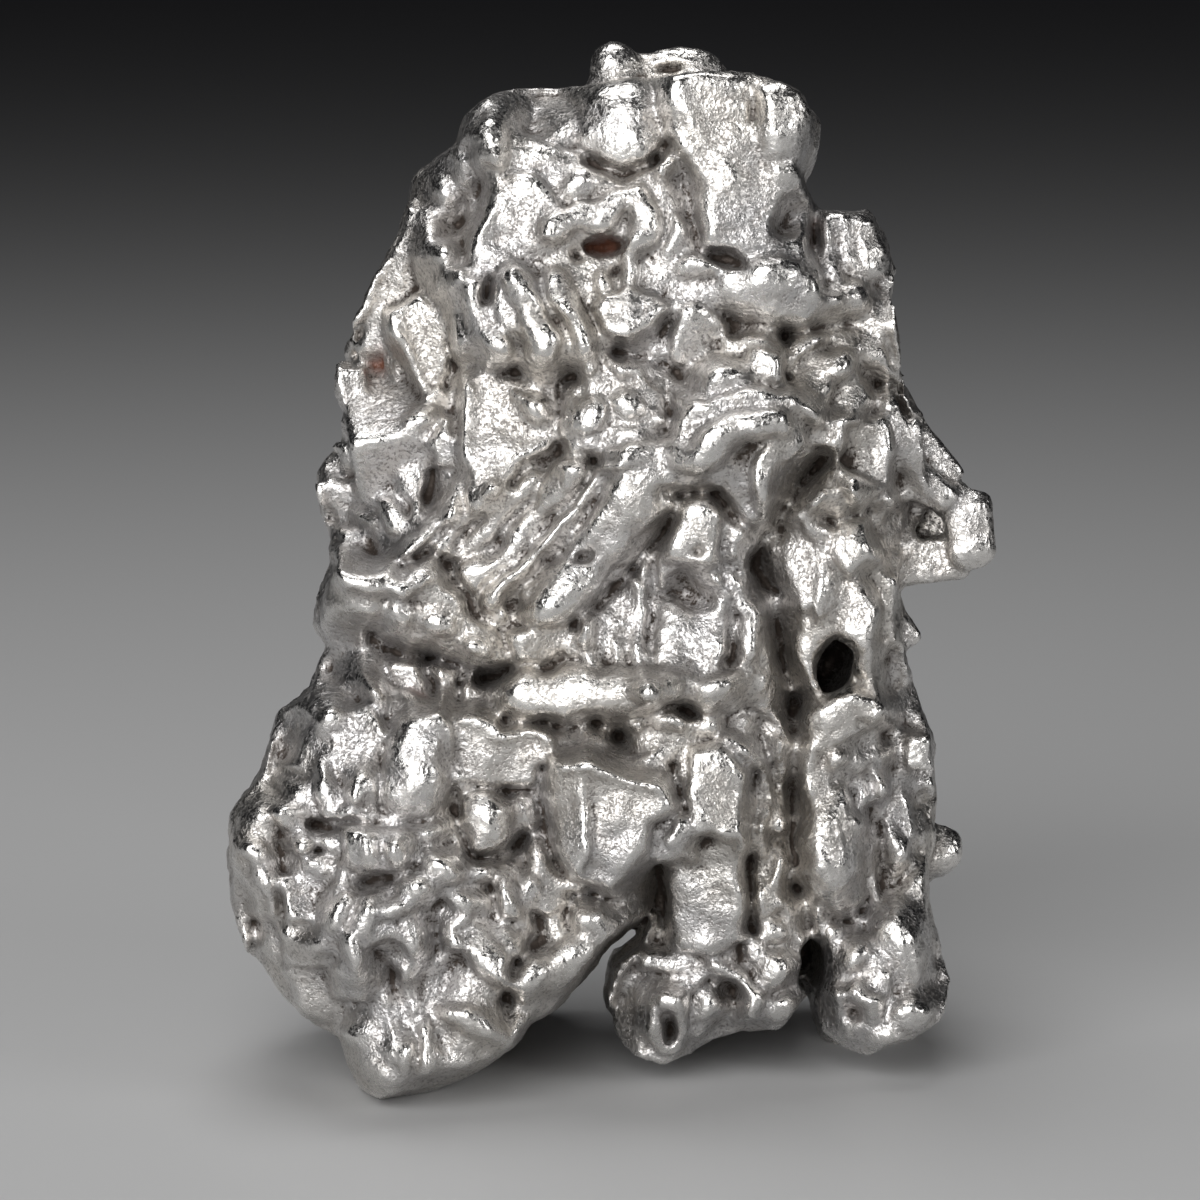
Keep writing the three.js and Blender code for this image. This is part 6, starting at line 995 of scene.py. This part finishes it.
def meteorite_body():
    """The sculpted field skinned, grained, set at the origin and thinned; also how far it was moved."""
    body = Body(Face().carve())
    for cu, cv, cw, ru, rv, rw, turn, boxy in SOLIDS:
        soft = SMALL_SOFT if max(ru, rv) < SMALL_MASS else LARGE_SOFT
        body.grow((cu, cv, cw), (ru, rv, rw), (math.radians(turn), 0, 0), boxy, soft)
    body.loose_blocks()
    body.side_grains()
    for cu, cv, cw, ru, rv, rw, turn in CUTS:
        body.hollow((cu, cv, cw), (ru, rv, rw), (math.radians(turn), 0, 0))
    body.rest()
    points, faces = one_body(*skinned(body.field))
    points = stood_up(points)
    thing = put("meteorite_skin", points * MM, faces)
    mesh = thing.data
    # small grains along the normals, none on the worn feet
    p, n, _ = mesh_arrays(mesh)
    fade = np.clip((points[:, 2] - REST - 0.05) / 0.5, 0, 1)
    p = p + n * (fine_relief(points) * fade * MM)[:, None]
    low, high = p.min(0), p.max(0)
    shift = np.array([(low[0] + high[0]) / 2, (low[1] + high[1]) / 2, low[2]])
    p -= shift
    mesh.vertices.foreach_set("co", p.ravel())
    mesh.update()
    count = 2 * len(mesh.polygons)
    if count > MOST_FACES:
        thinner = thing.modifiers.new("thinner", "DECIMATE")
        thinner.ratio = MOST_FACES / count
        with bpy.context.temp_override(object=thing, active_object=thing, selected_objects=[thing]):
            bpy.ops.object.modifier_apply(modifier=thinner.name)
        mesh = thing.data
    mesh.polygons.foreach_set("use_smooth", np.ones(len(mesh.polygons), bool))
    # how deep each point lies between its neighbours, near and further off, for the oxide and painted
    # shade of the finish
    p, n, ends = mesh_arrays(mesh)
    near = relaxed(p, ends, NEAR_ROUNDS)
    far = relaxed(near, ends, FAR_ROUNDS)
    close = np.einsum("ij,ij->i", near - p, n)[:, None] / MM
    wide = np.einsum("ij,ij->i", far - p, n)[:, None] / MM
    close = 0.35 * close + 0.65 * relaxed(close, ends, CREASE_ROUNDS)
    for name, value in (("crease", close[:, 0]), ("hollow", wide[:, 0])):
        layer = mesh.attributes.new(name, "FLOAT", "POINT")
        layer.data.foreach_set("value", value.astype(np.float32))
    return thing, shift / MM


# ---- shader maths
def operator(operation, flip=False):
    """An operator of Value that makes one Math node, its two sides swapped when flip is set."""
    return lambda value, *others: value.maths(operation, *others, flip=flip)


class Value:
    """A shader socket that takes + - * and min, max and clamp as Math nodes."""

    def __init__(self, maker, socket):
        self.maker, self.socket = maker, socket

    def maths(self, operation, *others, flip=False):
        """One Math node over this value and others."""
        args = [self, *others]
        if flip:
            args.reverse()
        return self.maker.node("ShaderNodeMath", {"operation": operation}, dict(enumerate(args)))

    __add__ = operator("ADD")
    __radd__ = operator("ADD")
    __sub__ = operator("SUBTRACT")
    __rsub__ = operator("SUBTRACT", flip=True)
    __mul__ = operator("MULTIPLY")
    __rmul__ = operator("MULTIPLY")
    least = operator("MINIMUM")
    most = operator("MAXIMUM")

    def held(self):
        """Held between 0 and 1."""
        return self.most(0.0).least(1.0)


class Finish:
    """A material whose nodes are made one call each."""

    def __init__(self, name):
        self.material = bpy.data.materials.new(name)
        self.material.use_nodes = True
        self.tree = self.material.node_tree
        self.tree.nodes.clear()

    def node(self, kind, settings=None, sockets=None, out=0):
        """One node of a kind, its settings, its sockets set or linked, and one of its outputs."""
        made = self.tree.nodes.new(kind)
        for key, value in (settings or {}).items():
            setattr(made, key, value)
        for key, value in (sockets or {}).items():
            socket = made.inputs[key]
            if isinstance(value, Value):
                self.tree.links.new(value.socket, socket)
            else:
                socket.default_value = value
        return Value(self, made.outputs[out]) if made.outputs else None

    def mix(self, share, a, b):
        """Colour b laid over colour a by a share."""
        return self.node("ShaderNodeMix", {"data_type": "RGBA"}, {0: share, 6: a, 7: b}, out=2)

    def surface(self, sockets):
        """Ends the material in one principled shader."""
        shader = self.node("ShaderNodeBsdfPrincipled", None, sockets)
        self.node("ShaderNodeOutputMaterial", None, {0: shader})
        return self.material

    def ramp(self, value, low, high):
        """0 at low, 1 at high, smooth between."""
        kind = {"interpolation_type": "SMOOTHSTEP"}
        return self.node("ShaderNodeMapRange", kind, {0: value, 1: low, 2: high, 3: 0.0, 4: 1.0})


# rust spots: across, up, out in the sculpting frame, then reach
RUST = [
    [0.0,42.0,1.0,0.9], [-0.6,33.8,7.0,1.1], [-0.3,32.4,7.0,0.6], [7.1,34.8,4.5,1.2], [-15.2,9.4,2.0,0.7],
    [-14.3,8.0,4.0,0.6], [7.3,24.0,3.0,1.2], [8.0,16.6,0.0,1.4], [-8.0,15.9,6.0,0.8], [-9.8,29.4,2.0,0.9],
]


def iron_finish(shift):
    """Bright where it stands out, darkened by oxide and painted shade in creases and hollows, etched
    between, with a few rust spots.
    """
    f = Finish("iron")
    place = f.node("ShaderNodeTexCoord", out=3)
    mm = f.node("ShaderNodeVectorMath", {"operation": "SCALE"}, {0: place, 3: 1000.0})

    def noise(scale, detail=2.0, rough=0.5):
        sockets = {"Vector": mm, "Scale": scale, "Detail": detail, "Roughness": rough}
        return f.node("ShaderNodeTexNoise", None, sockets)

    crease = f.node("ShaderNodeAttribute", {"attribute_name": "crease"}, out=2)
    hollow = f.node("ShaderNodeAttribute", {"attribute_name": "hollow"}, out=2)
    broad, small, grit = noise(0.16), noise(1.3, 3.0), noise(5.0, 3.0, 0.6)

    # painted shade with real oxide: darker along the concave creases
    crease_oxide_and_shade = f.ramp(crease + 0.08 * (grit - 0.5) + 0.06 * (small - 0.5), 0.02, 0.16)
    # painted shade in the broad hollows, with some oxide: darker the deeper a place lies
    deep = f.ramp(hollow + 0.6 * (small - 0.5), 0.15, 0.8)
    etch = f.ramp(0.6 * noise(9.0, 2.0, 0.6) + 0.4 * noise(4.3, 2.0), 0.48, 0.62)
    worn = f.ramp(0.03 * (small - 0.5) - crease, 0.0, 0.09)
    # oxide, etch and painted shade together: creases and hollows darkened as if shaded
    oxide_etch_and_shade = (crease_oxide_and_shade * 0.85 + deep * 0.8 + etch * (0.55 - 0.45 * worn)).held()
    pale = f.mix(f.ramp(broad, 0.35, 0.65), WARM_METAL, COOL_METAL)
    metal = f.mix(f.ramp(small, 0.4, 0.7) * 0.4, pale, DULL_METAL)
    metal = f.mix(worn * 0.7, metal, WORN_METAL)
    colour = f.mix(oxide_etch_and_shade, metal, OXIDE_AND_SHADE)

    rust = None
    for u, v, w, reach in RUST:
        x, y, z = stood_up(np.array([[u, v, w]]))[0] - shift
        ends = {0: mm, 1: (x, y, z)}
        away = f.node("ShaderNodeVectorMath", {"operation": "DISTANCE"}, ends, out=1)
        spot = f.ramp(away + 1.2 * (small - 0.5), reach, 0.3 * reach)
        rust = spot if rust is None else rust.most(spot)
    rust = (rust * (0.25 + 0.75 * f.ramp(hollow, -0.1, 0.5)) * 0.75).held()
    colour = f.mix(rust, colour, RUST_BROWN)

    rough = 0.29 - 0.07 * worn + 0.12 * (small - 0.4) + 0.10 * etch + 0.2 * oxide_etch_and_shade + 0.2 * rust
    rough = rough.held()
    metallic = (1.0 - 0.45 * oxide_etch_and_shade - 0.5 * rust).held()
    # heights in millimetres: two sizes of crinkle and a fine etch
    fold = lambda v: (v - 0.5).maths("ABSOLUTE")
    relief = 0.12 * fold(noise(1.2, 1.0)) - 0.07 * fold(noise(2.6, 1.0))
    relief = relief + (0.05 * fold(noise(5.5, 3.0)) - 0.014 * etch) * (1.0 - 0.7 * worn)
    bump = f.node("ShaderNodeBump", None, {"Strength": 1.0, "Distance": MM, "Height": relief})
    return f.surface({"Base Color": colour, "Metallic": metallic, "Roughness": rough, "Normal": bump})


meteorite, shift_mm = meteorite_body()
meteorite.data.materials.append(iron_finish(shift_mm))
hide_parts("meteorite")
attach(meteorite, "root")


# ---- floor, light and camera
def floor():
    """A plain grey ground."""
    s = FLOOR_HALF
    corners = np.array([[-s, -s, 0], [s, -s, 0], [s, s, 0], [-s, s, 0]])
    ground = put("floor", corners, np.array([[0, 1, 2, 3]]))
    ground.data.materials.append(Finish("floor").surface({"Base Color": FLOOR_GREY, "Roughness": 0.55}))


def looking(thing, place, way):
    """Stands a thing at a place, its -Z turned along a way."""
    thing.location = place
    thing.rotation_euler = Vector(way).to_track_quat("-Z", "Y").to_euler()


def soft_box(name, place, size, watts):
    """A square lamp turned to the foot of the piece."""
    lamp = bpy.data.lights.new(name, "AREA")
    lamp.shape, lamp.size, lamp.energy = "SQUARE", size, watts
    looking(linked(name, lamp), place, Vector(LAMPS_AIM) - Vector(place))


def studio():
    """A dim room with soft boxes."""
    world = bpy.data.worlds.new("studio")
    world.use_nodes = True
    world.node_tree.nodes["Background"].inputs[0].default_value = DIM_ROOM
    bpy.context.scene.world = world
    for name, place, size, watts in LAMPS:
        soft_box(name, place, size, watts)
    bpy.context.scene.view_settings.view_transform = "Standard"


def camera():
    """A long lens square to the leaned face."""
    lens = bpy.data.cameras.new("camera")
    lens.lens, lens.sensor_width = LENS, FILM
    lens.clip_start, lens.clip_end = 0.01, 10.0
    eye = linked("camera", lens)
    aim = (stood_up(np.array([WATCHED]))[0] - shift_mm) * MM
    away = np.array([0.0, -math.cos(LEAN), math.sin(LEAN)])
    looking(eye, aim + away * EYE_AWAY, -away)
    bpy.context.scene.camera = eye


floor()
studio()
camera()
